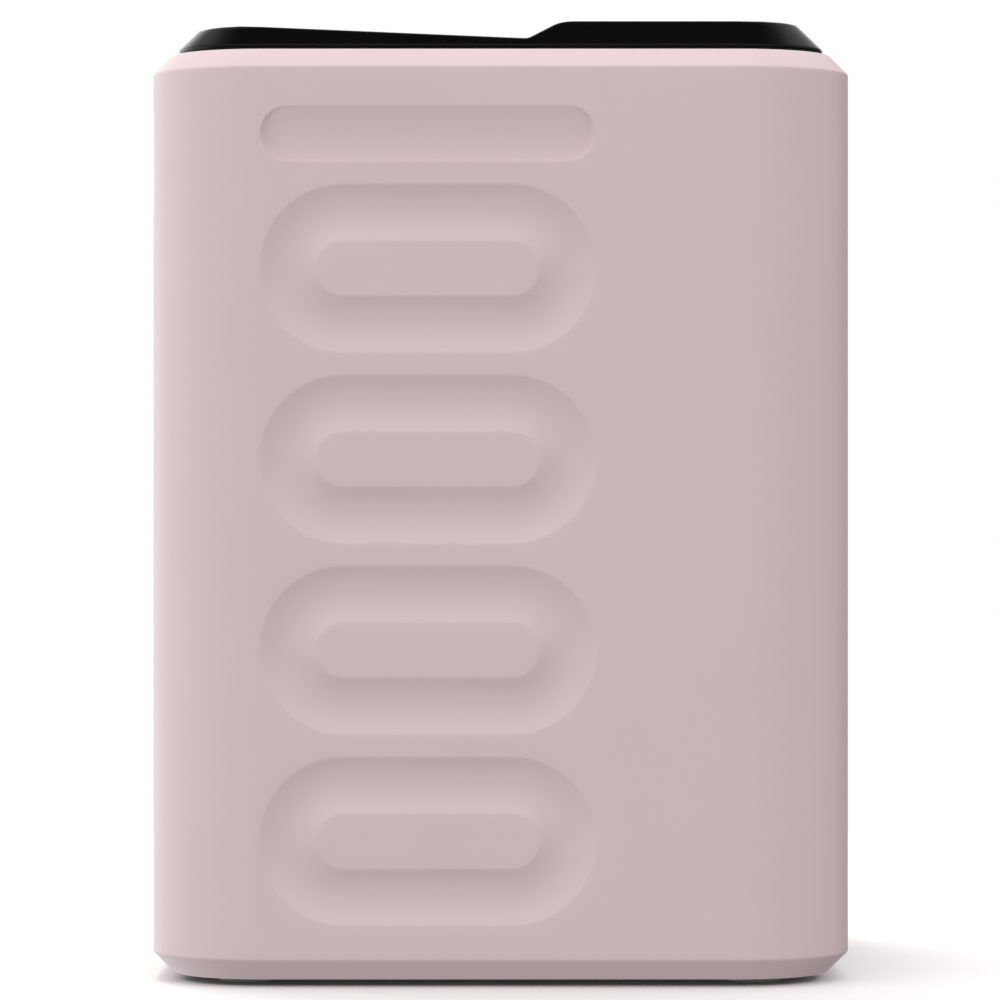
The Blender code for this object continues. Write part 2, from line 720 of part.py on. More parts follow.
def lid():
    """A thin black cover with a mix-in opening, a sealing skirt round the bowl's mouth and hinge knuckles."""
    cover = lid_envelope("lid", 0.0, LID_BOTTOM)
    combine(cover, lid_envelope("lid_hollow", LID_WALL, LID_BOTTOM - SLIVER), "DIFFERENCE")
    skirt_shape = tube_ring(
        MOUTH_RADIUS + 0.002, MOUTH_RADIUS + 0.006, GASKET_TOP + GAP, LID_CEILING, (0, BOWL_Y))
    skirt = new_object("lid_skirt", skirt_shape, black())
    combine(skirt, lid_envelope("lid_skirt_limit", LID_WALL / 2, LID_BOTTOM - SLIVER), "INTERSECT")
    combine(cover, skirt, "UNION")
    add(cover, merged([
        cylinder(KNUCKLE_RADIUS, x - KNUCKLE_LENGTH / 2, x + KNUCKLE_LENGTH / 2, (HINGE_Y, HINGE_Z), 14, "X")
        for x in (HINGE_X, -HINGE_X)
    ]))
    cut(cover, merged([
        box((x - EAR_LENGTH / 2 - GAP, HINGE_Y - 0.0030, LID_BOTTOM - SLIVER),
            (x + EAR_LENGTH / 2 + GAP, REAR_Y, HINGE_Z + KNUCKLE_RADIUS + 0.0008))
        for x in ear_middles()
    ]))
    cut(cover, merged([
        cylinder(running_bore(HINGE_PIN_RADIUS, 10), x - 0.02, x + 0.02, (HINGE_Y, HINGE_Z), 10, "X")
        for x in (HINGE_X, -HINGE_X)
    ]))
    seat = new_object("cap_seat", cap_outline(0), black())
    combine(seat, lid_envelope("cap_seat_floor", CAP_FLANGE + GAP, LID_BOTTOM - SLIVER), "DIFFERENCE")
    combine(cover, seat, "DIFFERENCE")
    cut(cover, cap_outline(CAP_LEDGE))
    notch = (0, CAP_Y - CAP_WIDTH / 2, lid_height(CAP_Y - CAP_WIDTH / 2) + NOTCH_RADIUS - CAP_FLANGE)
    turns = [math.pi * i / 8 for i in range(9)]
    ball = [(NOTCH_RADIUS * math.sin(turn), -NOTCH_RADIUS * math.cos(turn)) for turn in turns]
    cut(cover, turned(ball, 16, notch))


def cap_outline(shrink):
    """An upright block with the mix-in opening's capsule outline, moved inwards."""
    outline = capsule(CAP_LENGTH - 2 * shrink, CAP_WIDTH - 2 * shrink, 7, (0, CAP_Y))
    return prism(outline, BODY_TOP - 0.01, LID_CEILING)


def lid_height(y):
    """The height of the lid's long slope at y."""
    share = (y - RIDGE_Y) / (VALLEY_Y - RIDGE_Y)
    return BODY_TOP + RIDGE_RISE + share * (VALLEY_RISE - RIDGE_RISE)


def mix_in_cap():
    """A flush cap: its flange rests on the ledge in the lid's opening and a hollow plug centres it."""
    cap = lid_envelope("mix_in_cap", 0.0, LID_BOTTOM)
    combine(cap, lid_envelope("cap_flange_floor", CAP_FLANGE, LID_BOTTOM - SLIVER), "DIFFERENCE")
    keep(cap, cap_outline(GAP))
    plug = lid_envelope("cap_plug", CAP_FLANGE / 2, GASKET_TOP + GAP)
    keep(plug, cap_outline(CAP_LEDGE + GAP))
    combine(cap, plug, "UNION")
    hollow = lid_envelope("cap_hollow", CAP_FLANGE + 0.0008, LID_BOTTOM - SLIVER)
    keep(hollow, cap_outline(CAP_LEDGE + GAP + 0.0016))
    combine(cap, hollow, "DIFFERENCE")


def hinge_pins():
    for side, name in ((1, "right"), (-1, "left")):
        half = hinge_half() + EAR_LENGTH / 2 - 0.0002
        middle = (side * HINGE_X, HINGE_Y, HINGE_Z)
        pin = cylinder(HINGE_PIN_RADIUS, middle[0] - half, middle[0] + half, (HINGE_Y, HINGE_Z), 10, "X")
        new_object("hinge_pin_" + name, pin, steel(), middle)


def lid_gasket():
    ring = tube_ring(
        MOUTH_RADIUS + 0.001, MOUTH_RADIUS + 0.007, BODY_TOP + 0.0003, GASKET_TOP, (0, BOWL_Y), 32)
    new_object("lid_gasket", ring, rubber())


# ---------------------------------------------------------------- bowl, well and dasher
def bowl():
    """A spun pot with a flange to hang from and an open tube up its middle for the drive shaft."""
    bore = TUBE_RADIUS - BOWL_WALL
    profile = [
        (bore, BOWL_BOTTOM),
        (BOWL_RADIUS - 0.006, BOWL_BOTTOM),
        (BOWL_RADIUS, BOWL_BOTTOM + 0.006),
        (BOWL_RADIUS, BOWL_TOP - BOWL_WALL),
        (BOWL_RADIUS + BOWL_FLANGE, BOWL_TOP - BOWL_WALL),
        (BOWL_RADIUS + BOWL_FLANGE, BOWL_TOP),
        (BOWL_RADIUS - BOWL_WALL, BOWL_TOP),
        (BOWL_RADIUS - BOWL_WALL, BOWL_BOTTOM + 0.0068),
        (BOWL_RADIUS - 0.0068, BOWL_BOTTOM + BOWL_WALL),
        (TUBE_RADIUS, BOWL_BOTTOM + BOWL_WALL),
        (TUBE_RADIUS, TUBE_TOP),
        (bore, TUBE_TOP),
    ]
    new_object("bowl", turned(profile, 28, BOWL_AXIS), aluminium(), BOWL_AXIS)


def cooling_well():
    """The fixed liner that the bowl drops into."""
    outer = WELL_RADIUS + WELL_WALL
    profile = [
        (SEAL_RADIUS - 0.001, WELL_FLOOR - WELL_WALL),
        (outer, WELL_FLOOR - WELL_WALL),
        (outer, FLANGE_TOP - WELL_WALL),
        (outer + WELL_FLANGE, FLANGE_TOP - WELL_WALL),
        (outer + WELL_FLANGE, FLANGE_TOP),
        (WELL_RADIUS, FLANGE_TOP),
        (WELL_RADIUS, WELL_FLOOR),
        (SEAL_RADIUS - 0.001, WELL_FLOOR),
    ]
    new_object("cooling_well", turned(profile, 28, BOWL_AXIS), aluminium(), BOWL_AXIS)


def evaporator_coil():
    """Tube wound round the well from near its floor to near its flange."""
    low = WELL_FLOOR + 2 * COIL_RADIUS
    high = FLANGE_TOP - 3.5 * COIL_RADIUS
    points = []
    for i in range(COIL_TURNS * COIL_STEPS + 1):
        angle = math.pi / 2 + 2 * math.pi * i / COIL_STEPS
        rise = i / (COIL_TURNS * COIL_STEPS)
        height = low + (high - low) * rise
        points.append((COIL_REACH * math.cos(angle), BOWL_Y + COIL_REACH * math.sin(angle), height))
    line_tube("evaporator_coil", points, COIL_RADIUS, aluminium(), 1)


def insulation_cup():
    """Foam round the well and the coil, with a hole for the drive."""
    profile = [
        (FOAM_HOLE, FOAM_BOTTOM),
        (FOAM_RADIUS, FOAM_BOTTOM),
        (FOAM_RADIUS, HIGH_LEDGE - LEDGE_THICKNESS - GAP),
        (FOAM_BORE, HIGH_LEDGE - LEDGE_THICKNESS - GAP),
        (FOAM_BORE, WELL_FLOOR - WELL_WALL - GAP),
        (FOAM_HOLE, WELL_FLOOR - WELL_WALL - GAP),
    ]
    new_object("insulation_cup", turned(profile, FOAM_SEGMENTS, BOWL_AXIS), foam())


def dasher():
    """The hub turns on the bowl's tube; two open frames scrape the wall."""
    hub_bore = TUBE_RADIUS + 0.0004
    hub_radius = TUBE_RADIUS + 0.0035
    floor = BOWL_BOTTOM + BOWL_WALL + 0.0008
    hub_top = SHAFT_TOP + 0.003
    hub = [
        (hub_bore, floor), (hub_radius, floor), (hub_radius, TUBE_TOP - 0.004), (hub_radius - 0.003, hub_top),
        (SQUARE_HALF * 1.5, hub_top), (SQUARE_HALF * 1.5, TUBE_TOP + GAP), (hub_bore, TUBE_TOP + GAP),
    ]
    body = new_object("dasher", turned(hub, 20, BOWL_AXIS), acetal(), BOWL_AXIS)
    reach = BOWL_RADIUS - BOWL_WALL - DASHER_GAP
    for side in (1, -1):
        add(body, dasher_frame(side, hub_radius - 0.0015, reach, floor))
    socket = SQUARE_HALF + GAP
    plug = new_object(
        "dasher_socket",
        prism(rotated_square(SQUARE_HALF * 1.5 + 0.002), TUBE_TOP + 2 * GAP, hub_top - SLIVER / 2), acetal())
    cut(plug, prism(rotated_square(socket), TUBE_TOP - SLIVER, hub_top + SLIVER))
    combine(body, plug, "UNION")
    return body


def rotated_square(half):
    return [(half, BOWL_Y - half), (half, BOWL_Y + half), (-half, BOWL_Y + half), (-half, BOWL_Y - half)]


def dasher_frame(side, inner, outer, low):
    """A frame with a window: a foot along the bowl's floor, a blade up its wall and a sloping brace."""
    rim = 0.006
    outside = [
        (inner, low), (outer - 0.006, low), (outer, low + 0.006),
        (outer, BLADE_TOP), (outer - 0.012, BLADE_TOP), (inner, TUBE_TOP - 0.006)]
    inside = [
        (inner + rim, low + rim), (outer - rim - 0.004, low + rim), (outer - rim, low + rim + 0.004),
        (outer - rim, BLADE_TOP - rim - 0.006), (outer - rim - 0.004, BLADE_TOP - rim - 0.008),
        (inner + rim, TUBE_TOP - 0.022)]
    loops = []
    for outline, y in ((outside, -1), (outside, 1), (inside, 1), (inside, -1)):
        loops.append([(side * x, BOWL_Y + y * BLADE_THICKNESS / 2, z) for x, z in outline])
    return loft(loops, ring=True)


# ---------------------------------------------------------------- drive
def gear_outline(teeth, facing, centre, tooth_at):
    """Straight-sided teeth, as wide as involute ones at root and tip.

    A tooth is centred on the angle tooth_at or, when facing is False, a gap is.
    """
    pitch = GEAR_MODULE * teeth / 2
    base = pitch * math.cos(math.radians(20))
    root = pitch - 1.2 * GEAR_MODULE
    tip = pitch + 0.85 * GEAR_MODULE
    half_pitch_angle = (math.pi * GEAR_MODULE / 2 - GEAR_BACKLASH) / (2 * pitch)
    involute_pitch = math.tan(math.radians(20)) - math.radians(20)

    def half_angle(radius):
        """Half the tooth's angle at a radius."""
        pressure = math.acos(min(base / max(radius, base), 1))
        return half_pitch_angle + involute_pitch - (math.tan(pressure) - pressure)

    flank = [root, tip]
    points = []
    for i in range(teeth):
        middle = tooth_at + 2 * math.pi * (i + (0 if facing else 0.5)) / teeth
        for radius in flank:
            points.append((radius, middle - half_angle(radius)))
        for radius in reversed(flank):
            points.append((radius, middle + half_angle(radius)))
    return [(centre.x + r * math.cos(a), centre.y + r * math.sin(a)) for r, a in points]


def gears():
    """The output gear and the motor pinion, with a stepped idler between them, in mesh as drawn."""
    outline = gear_outline(OUTPUT_TEETH, True, BOWL_AXIS, IDLER_ANGLE)
    output = new_object("output_gear", prism(outline, *UPPER_GEAR), acetal(), BOWL_AXIS)
    low, high = UPPER_GEAR[0] - SLIVER, UPPER_GEAR[1] + SLIVER
    cut(output, cylinder(SHAFT_RADIUS + 0.0003, low, high, (0, BOWL_Y), 20))

    outline = gear_outline(IDLER_TEETH, True, IDLER_AXIS, MOTOR_ANGLE)
    idler = new_object("idler_gear", prism(outline, *LOWER_GEAR), acetal(), IDLER_AXIS)
    small = gear_outline(PINION_TEETH, False, IDLER_AXIS, IDLER_ANGLE + math.pi)
    add(idler, prism(small, LOWER_GEAR[1] - SLIVER, UPPER_GEAR[1] + 0.001))
    cut(idler, cylinder(
        running_bore(IDLER_PIN_RADIUS, 16), LOWER_GEAR[0] - SLIVER, UPPER_GEAR[1] + 0.003, IDLER_AXIS.xy, 16))

    outline = gear_outline(PINION_TEETH, False, MOTOR_AXIS, MOTOR_ANGLE + math.pi)
    pinion = new_object("motor_pinion", prism(outline, *LOWER_GEAR), bronze(), MOTOR_AXIS)
    low, high = LOWER_GEAR[0] - SLIVER, LOWER_GEAR[1] + SLIVER
    cut(pinion, cylinder(MOTOR_SHAFT_RADIUS + 0.0003, low, high, MOTOR_AXIS.xy, 12))

    pin = cylinder(IDLER_PIN_RADIUS, BRACKET_TOP + 0.0004, GEARCASE_TOP, IDLER_AXIS.xy, 16)
    new_object("idler_pin", pin, steel())


def gearcase_outline(spare):
    """The hull of circles round the three gear axes."""
    points = []
    for axis, radius in ((BOWL_AXIS, OUTPUT_PITCH), (IDLER_AXIS, IDLER_PITCH), (MOTOR_AXIS, PINION_PITCH)):
        points += circle(radius + GEAR_MODULE + spare, 16, axis.xy)
    return [points[i] for i in convex_hull_2d([Vector(p) for p in points])]


def gearcase():
    """A cup on the bracket and a cover whose boss holds the bush."""
    bottom, floor = GEARCASE_BOTTOM, GEARCASE_INSIDE
    outside = prism(gearcase_outline(0.001 + GEARCASE_WALL), bottom, GEARCASE_TOP)
    case = new_object("gearbox_case", outside, dark())
    cut(case, prism(gearcase_outline(0.001), floor, GEARCASE_TOP + SLIVER))
    cut(case, cylinder(IDLER_PIN_RADIUS + 0.0003, bottom - SLIVER, floor + SLIVER, IDLER_AXIS.xy, 12))
    cut(case, cylinder(MOTOR_SHAFT_RADIUS + 0.0015, bottom - SLIVER, floor + SLIVER, MOTOR_AXIS.xy, 12))

    low = GEARCASE_TOP + REST_GAP
    outline = gearcase_outline(0.001 + GEARCASE_WALL)
    cover = new_object("gearbox_cover", prism(outline, low, low + COVER_THICKNESS), dark())
    boss_top = WELL_FLOOR - WELL_WALL - 0.0055
    add(cover, cylinder(BUSH_RADIUS + 0.003, low + SLIVER, boss_top, (0, BOWL_Y), 20))
    cut(cover, cylinder(BUSH_RADIUS + 0.0003, low - SLIVER, boss_top + SLIVER, (0, BOWL_Y), 20))
    new_object(
        "shaft_bush",
        tube_ring(running_bore(SHAFT_RADIUS, 20), BUSH_RADIUS, low + 0.0004, boss_top, (0, BOWL_Y), 20),
        bronze())
    low, high = boss_top + 0.0004, WELL_FLOOR - WELL_WALL - 0.0004
    ring = tube_ring(running_bore(SHAFT_RADIUS, 20), SEAL_RADIUS, low, high, (0, BOWL_Y), 20)
    new_object("shaft_seal", ring, rubber())


def drive_shaft():
    """A round shaft whose top turns square for the dasher's socket."""
    def ring(radius, z, square=False):
        points = []
        for x, y in circle(radius, 20):
            if square:
                grow = radius / max(abs(x), abs(y))
                x, y = x * grow, y * grow
            points.append((x, BOWL_Y + y, z))
        return points

    loops = [
        ring(SHAFT_RADIUS - SHAFT_CHAMFER, LOWER_GEAR[0] - SHAFT_CHAMFER),
        ring(SHAFT_RADIUS, LOWER_GEAR[0]),
        ring(SHAFT_RADIUS, TUBE_TOP - 0.002),
        ring(SQUARE_HALF, TUBE_TOP, True),
        ring(SQUARE_HALF, SHAFT_TOP, True),
    ]
    new_object("drive_shaft", loft(loops), steel(), BOWL_AXIS)


def motor():
    """A cylindrical motor hung under the bracket, with its shaft up through the gearcase floor."""
    top = BRACKET_TOP - BRACKET_SHEET - 0.0003
    low = top - MOTOR_LENGTH
    profile = [
        (0, low), (0.009, low), (0.009, low + 0.004),
        (MOTOR_RADIUS - 0.003, low + 0.004), (MOTOR_RADIUS, low + 0.007),
        (MOTOR_RADIUS, top - 0.002), (MOTOR_RADIUS - 0.002, top), (0, top)]
    can = new_object("motor_can", turned(profile, 24, MOTOR_AXIS), steel(), MOTOR_AXIS)
    cut(can, cylinder(running_bore(MOTOR_SHAFT_RADIUS, 12), top - 0.020, top + SLIVER, MOTOR_AXIS.xy, 12))
    shaft = cylinder(MOTOR_SHAFT_RADIUS, top - 0.0195, LOWER_GEAR[1] + 0.0005, MOTOR_AXIS.xy, 12)
    new_object("motor_shaft", shaft, steel(), MOTOR_AXIS)


def support_bracket():
    """Bent sheet: a bridge over the compressor with two legs and two feet on the base."""
    top, sheet, half = BRACKET_TOP, BRACKET_SHEET, BRACKET_HALF_WIDTH
    foot = BASE_TOP + 0.0003
    turn_in = 0.009
    outline = [
        (half, foot), (half, top), (-half, top),
        (-half, foot), (-half + turn_in, foot), (-half + turn_in, foot + sheet),
        (-half + sheet, foot + sheet), (-half + sheet, top - sheet), (half - sheet, top - sheet),
        (half - sheet, foot + sheet), (half - turn_in, foot + sheet), (half - turn_in, foot)]
    bracket = new_object("support_bracket", prism(outline, -0.064, 0.036, "Y"), steel())
    low, high = top - sheet - SLIVER, top + SLIVER
    cut(bracket, cylinder(MOTOR_SHAFT_RADIUS + 0.003, low, high, MOTOR_AXIS.xy, 12))
    return bracket


# ---------------------------------------------------------------- cooling circuit
def compressor():
    """Two drawn steel halves welded at a flange, on a plate with three ears."""
    x, y = COMPRESSOR_XY
    radius, top = COMPRESSOR_RADIUS, COMPRESSOR_TOP
    plate = GROMMET_TOP + 0.0003
    low = plate + 0.002
    middle = (low + top) / 2 - 0.006
    profile = [
        (0, plate + SLIVER), (radius * 0.55, plate + SLIVER),
        (radius * 0.85, low + 0.008), (radius * 0.97, low + 0.022),
        (radius * 0.97, middle), (radius, middle), (radius, middle + 0.004), (radius * 0.97, middle + 0.004),
        (radius * 0.97, top - 0.030), (radius * 0.86, top - 0.010), (radius * 0.55, top - 0.002), (0, top)]
    body = new_object("compressor", turned(profile, 24, (x, y, 0)), enamel())
    ears = []
    for angle in COMPRESSOR_EARS:
        ears += circle(0.009, 8, compressor_ear(angle))
    outline = [ears[i] for i in convex_hull_2d([Vector(p) for p in ears])]
    add(body, prism(outline, plate, low + 0.001))
    holes = [
        cylinder(0.0040, plate - SLIVER, low + 0.004, compressor_ear(angle), 12)
        for angle in COMPRESSOR_EARS
    ]
    cut(body, merged(holes))
    add(body, box((x + radius * 0.80, y - 0.016, low + 0.030), (x + radius + 0.010, y + 0.016, low + 0.062)))
    for number, angle in enumerate(COMPRESSOR_EARS, 1):
        foot = BASE_TOP + 0.0003
        grommet = [
            (0.0015, foot), (0.0085, foot), (0.0085, GROMMET_TOP), (0.0036, GROMMET_TOP),
            (0.0036, low + 0.0016), (0.0070, low + 0.0016), (0.0070, low + 0.0036), (0.0015, low + 0.0036)]
        at = compressor_ear(angle)
        new_object(f"compressor_grommet_{number}", turned(grommet, 10, (*at, 0)), rubber(), (*at, 0))


def compressor_ear(angle):
    reach = COMPRESSOR_RADIUS - 0.004
    return (COMPRESSOR_XY[0] + reach * math.cos(angle), COMPRESSOR_XY[1] + reach * math.sin(angle))


def condenser():
    """Finned block: plates threaded on four cross tubes, between two end brackets."""
    width, depth, height = CONDENSER_SIZE
    bottom = BASE_TOP + 0.0003
    front, rear = CONDENSER_Y - depth / 2, CONDENSER_Y + depth / 2
    tray = box((-width / 2, front, bottom), (width / 2, rear, bottom + 0.002))
    body = new_object("condenser", tray, aluminium())
    fins = []
    count = 8
    for i in range(count):
        x = (i / (count - 1) - 0.5) * (width - 0.002)
        fins.append(box(
            (x - 0.0006, front + 0.0005, bottom + 0.001), (x + 0.0006, rear - 0.0005, bottom + height)))
    add(body, merged(fins))
    end = width / 2 + 0.005
    tubes = [
        cylinder(0.0035, -end, end, (CONDENSER_Y, bottom + height * share), 6, "X")
        for share in (0.2, 0.55, 0.9)
    ]
    add(body, merged(tubes))


def fan():
    """A square frame with a round duct, and a seven-bladed rotor on its hub."""
    half = FAN_SIZE / 2
    duct = half - 0.002
    low, high = FAN_Y - FAN_DEPTH / 2, FAN_Y + FAN_DEPTH / 2
    square = prism(rounded_rectangle(FAN_SIZE, FAN_SIZE, 0.004, 2, (0, FAN_Z)), low, high, "Y")
    frame = new_object("fan_frame", square, dark())
    cut(frame, cylinder(duct, low - SLIVER, high + SLIVER, (0, FAN_Z), 28, "Y"))
    spokes = [
        box((-half + 0.001, high - 0.003, FAN_Z - 0.0015), (half - 0.001, high - 0.0005, FAN_Z + 0.0015)),
    ]
    add(frame, merged(spokes))
    add(frame, box(
        (-0.0015, high - 0.003, FAN_Z - half + 0.001), (0.0015, high - 0.0005, FAN_Z + half - 0.001)))
    add(frame, cylinder(0.014, high - 0.004, high - 0.0003, (0, FAN_Z), 16, "Y"))

    front, rear = low + 0.001 - FAN_Y, high - 0.0055 - FAN_Y
    hub = [(0, front), (0.015, front), (0.016, front + 0.001), (0.016, rear), (0, rear)]
    middle = (0, FAN_Y, FAN_Z)
    rotor = new_object("fan_rotor", turned(hub, 20, middle, "Y"), dark(), middle)
    blades = []
    for i in range(FAN_BLADES):
        blades.append(fan_blade(2 * math.pi * i / FAN_BLADES, duct - 0.0020))
    add(rotor, merged(blades))


def fan_blade(angle, tip):
    """A flat blade, pitched about its own radial line."""
    blade = box((0.013, -0.0008, -FAN_CHORD / 2), (tip, 0.0008, FAN_CHORD / 2))
    turn = Matrix.Translation((0, FAN_Y - 0.002, FAN_Z)) @ Matrix.Rotation(-angle, 4, "Y")
    turn @= Matrix.Rotation(FAN_PITCH, 4, "X")
    bmesh.ops.transform(blade, verts=blade.verts, matrix=turn)
    return blade


def refrigerant_lines():
    """Copper: hot gas to the condenser, a drier, and the cold return from the coil."""
    x, y = COMPRESSOR_XY
    width, _, height = CONDENSER_SIZE
    top_pass = BASE_TOP + 0.0003 + height * 0.9
    low_pass = BASE_TOP + 0.0003 + height * 0.2
    discharge = [
        (x - 0.030, y + COMPRESSOR_RADIUS - 0.006, 0.090), (x - 0.034, y + COMPRESSOR_RADIUS + 0.012, 0.092),
        (x - 0.036, CONDENSER_Y - 0.030, 0.100), (-width / 2 - 0.016, CONDENSER_Y - 0.010, top_pass),
        (-width / 2 - 0.0125, CONDENSER_Y, top_pass), (-width / 2 - 0.0056, CONDENSER_Y, top_pass)]
    line_tube("discharge_line", discharge, LINE_RADIUS, copper(), 1, smooth=True)
    drier = [(0, -0.024), (0.003, -0.022), (0.0075, -0.014), (0.0075, 0.014), (0.003, 0.022), (0, 0.024)]
    at = (width / 2 + 0.022, CONDENSER_Y - 0.004, low_pass + 0.040)
    new_object("filter_drier", turned(drier, 12, at), copper(), at)
    capillary = [
        (width / 2 + 0.0056, CONDENSER_Y, low_pass), (width / 2 + 0.013, CONDENSER_Y, low_pass),
        (width / 2 + 0.021, CONDENSER_Y - 0.003, low_pass + 0.006),
        (width / 2 + 0.022, CONDENSER_Y - 0.004, low_pass + 0.0155)]
    line_tube("liquid_line", capillary, 0.0022, copper(), 1, smooth=True)
    out = FOAM_RADIUS + 0.010
    suction = [
        (0.012, BOWL_Y + out, FOAM_BOTTOM - 0.009), (0.006, BOWL_Y + out + 0.006, COMPRESSOR_TOP + 0.002),
        (-0.020, BOWL_Y + out - 0.024, COMPRESSOR_TOP - 0.020),
        (x + 0.010, y + COMPRESSOR_RADIUS + 0.016, 0.110), (x + 0.002, y + COMPRESSOR_RADIUS + 0.004, 0.103)]
    line_tube("suction_line", suction, LINE_RADIUS, copper(), 1, smooth=True)


# ---------------------------------------------------------------- front controls
def stepped_panel(name, outline, side_band, material, recess):
    """A panel that fills an opening in the housing wall, with a flange behind it."""
    plug = new_object(name, side_band(recess, PANEL_BACK), material)
    keep(plug, outline(GAP))
    flange = new_object(name + "_flange", side_band(WALL + GAP, PANEL_BACK), material)
    keep(flange, outline(-FLANGE_REACH))
    combine(plug, flange, "UNION")
    return plug


def fascia():
    """Pink control strip: it follows the housing's front corners, half a millimetre in."""
    def band(outer, inner):
        low, high = FASCIA_Z - 0.035, FASCIA_Z + 0.028
        return body_band([(outer, low), (outer, high), (inner, high), (inner, low)])

    def outline(shrink):
        corner = FASCIA_CORNER - shrink
        shape = rounded_rectangle(
            FASCIA_WIDTH - 2 * shrink, FASCIA_HEIGHT - 2 * shrink, corner, 4, (0, FASCIA_Z))
        return prism(shape, FRONT_Y - 0.01, FRONT_Y + 0.02, "Y")

    panel = stepped_panel("fascia", outline, band, pink(), FASCIA_INSET)
    holes = [prism(capsule(LENS_LENGTH, UNIT, 7, (0, FASCIA_Z)), FRONT_Y - 0.01, FRONT_Y + 0.02, "Y")]
    for x in button_places():
        holes.append(cylinder(BUTTON_RADIUS + GAP, FRONT_Y - 0.01, FRONT_Y + 0.02, (x, FASCIA_Z), 20, "Y"))
    cut(panel, merged(holes))
    lens = prism(
        capsule(LENS_LENGTH - 2 * GAP, UNIT - 2 * GAP, 7, (0, FASCIA_Z)),
        FRONT_Y + FASCIA_INSET, FRONT_Y + PANEL_BACK, "Y")
    new_object("display_lens", lens, black())


def button_places():
    """Two buttons either side of the display."""
    first = LENS_LENGTH / 2 + 0.0115
    return [-first - BUTTON_PITCH, -first, first, first + BUTTON_PITCH]


def buttons():
    """Round keys with a retaining flange behind the fascia and a stem that meets the switch."""
    front = -BUTTON_PROUD
    back = PANEL_BACK + 0.0003
    for name, x in zip(BUTTON_NAMES, button_places()):
        profile = [
            (0, front), (BUTTON_RADIUS - 0.001, front),
            (BUTTON_RADIUS, front + 0.0008), (BUTTON_RADIUS, back),
            (BUTTON_RADIUS + 0.0015, back), (BUTTON_RADIUS + 0.0015, back + 0.001), (0.002, back + 0.001),
            (0.002, back + 0.0018), (0, back + 0.0018)]
        centre = (x, FRONT_Y, FASCIA_Z)
        new_object("button_" + name, turned(profile, 14, centre, "Y"), pink(), centre)


def control_board():
    """The board behind the fascia, with a switch behind each button and the display module."""
    back = FRONT_Y + PANEL_BACK + 0.0003 + 0.0018
    switch_face = back + BUTTON_TRAVEL + 0.0002
    board_face = switch_face + 0.0030
    half = button_places()[-1] + 0.008
    board = new_object(
        "control_board",
        box((-half, board_face, FASCIA_Z - 0.015), (half, board_face + 0.0016, FASCIA_Z + 0.015)), laminate())
    parts = [
        box((x - 0.003, switch_face, FASCIA_Z - 0.003), (x + 0.003, board_face + 0.0008, FASCIA_Z + 0.003))
        for x in button_places()
    ]
    parts.append(box(
        (-0.034, FRONT_Y + PANEL_BACK + 0.0003, FASCIA_Z - 0.008),
        (0.034, board_face + 0.0008, FASCIA_Z + 0.008)))
    add(board, merged(parts))


# ---------------------------------------------------------------- rear panel and mains side
def rear_panel():
    """Grille over the fan, upper vents, and holes for the mains inlet and the switch."""
    def band(outer, inner):
        y0, y1 = REAR_Y - inner, REAR_Y - outer
        low, high = REAR_BOTTOM - 0.010, REAR_BOTTOM + REAR_HEIGHT + 0.010
        return box((-REAR_WIDTH / 2 - 0.010, y0, low), (REAR_WIDTH / 2 + 0.010, y1, high))

    def outline(shrink):
        return prism(rear_outline(shrink), REAR_Y - 0.02, REAR_Y + 0.01, "Y")

    panel = stepped_panel("rear_panel", outline, band, pink(), FASCIA_INSET)
    slots = []
    first = FAN_Z - (FAN_SLOTS - 1) * SLOT_PITCH / 2
    heights = [first + i * SLOT_PITCH for i in range(FAN_SLOTS)]
    heights += [UPPER_SLOT_Z + i * SLOT_PITCH for i in range(UPPER_SLOTS)]
    for z in heights:
        slots.append(prism(capsule(SLOT_LENGTH, SLOT_HEIGHT, 2, (0, z)), REAR_Y - 0.02, REAR_Y + 0.01, "Y"))
    for x, (w, h) in ((INLET_X, INLET_SIZE), (ROCKER_X, (ROCKER_SIZE[0] + 0.002, ROCKER_SIZE[1] + 0.002))):
        hole = rounded_rectangle(w + 2 * GAP, h + 2 * GAP, 0.002, 2, (x, ENTRY_Z))
        slots.append(prism(hole, REAR_Y - 0.02, REAR_Y + 0.01, "Y"))
    for at in rear_screw_places():
        slots.append(cylinder(SCREW_RADIUS + GAP, REAR_Y - 0.02, REAR_Y + 0.01, at, 10, "Y"))
    cut(panel, merged(slots))
    recesses = [
        cylinder(SCREW_HEAD_RADIUS + GAP, REAR_Y - SCREW_SEAT, REAR_Y + 0.01, at, 12, "Y")
        for at in rear_screw_places()
    ]
    cut(panel, merged(recesses))
    for number, at in enumerate(rear_screw_places(), 1):
        screw(f"rear_screw_{number}", at, REAR_Y - SCREW_SEAT + 0.0003, 0.008, -1, "Y")


def rear_screw_places():
    x = REAR_WIDTH / 2 - REAR_SCREW_INSET
    low = REAR_BOTTOM + REAR_SCREW_INSET
    high = REAR_BOTTOM + REAR_HEIGHT - REAR_SCREW_INSET
    return [(-x, low), (x, low), (-x, high), (x, high)]


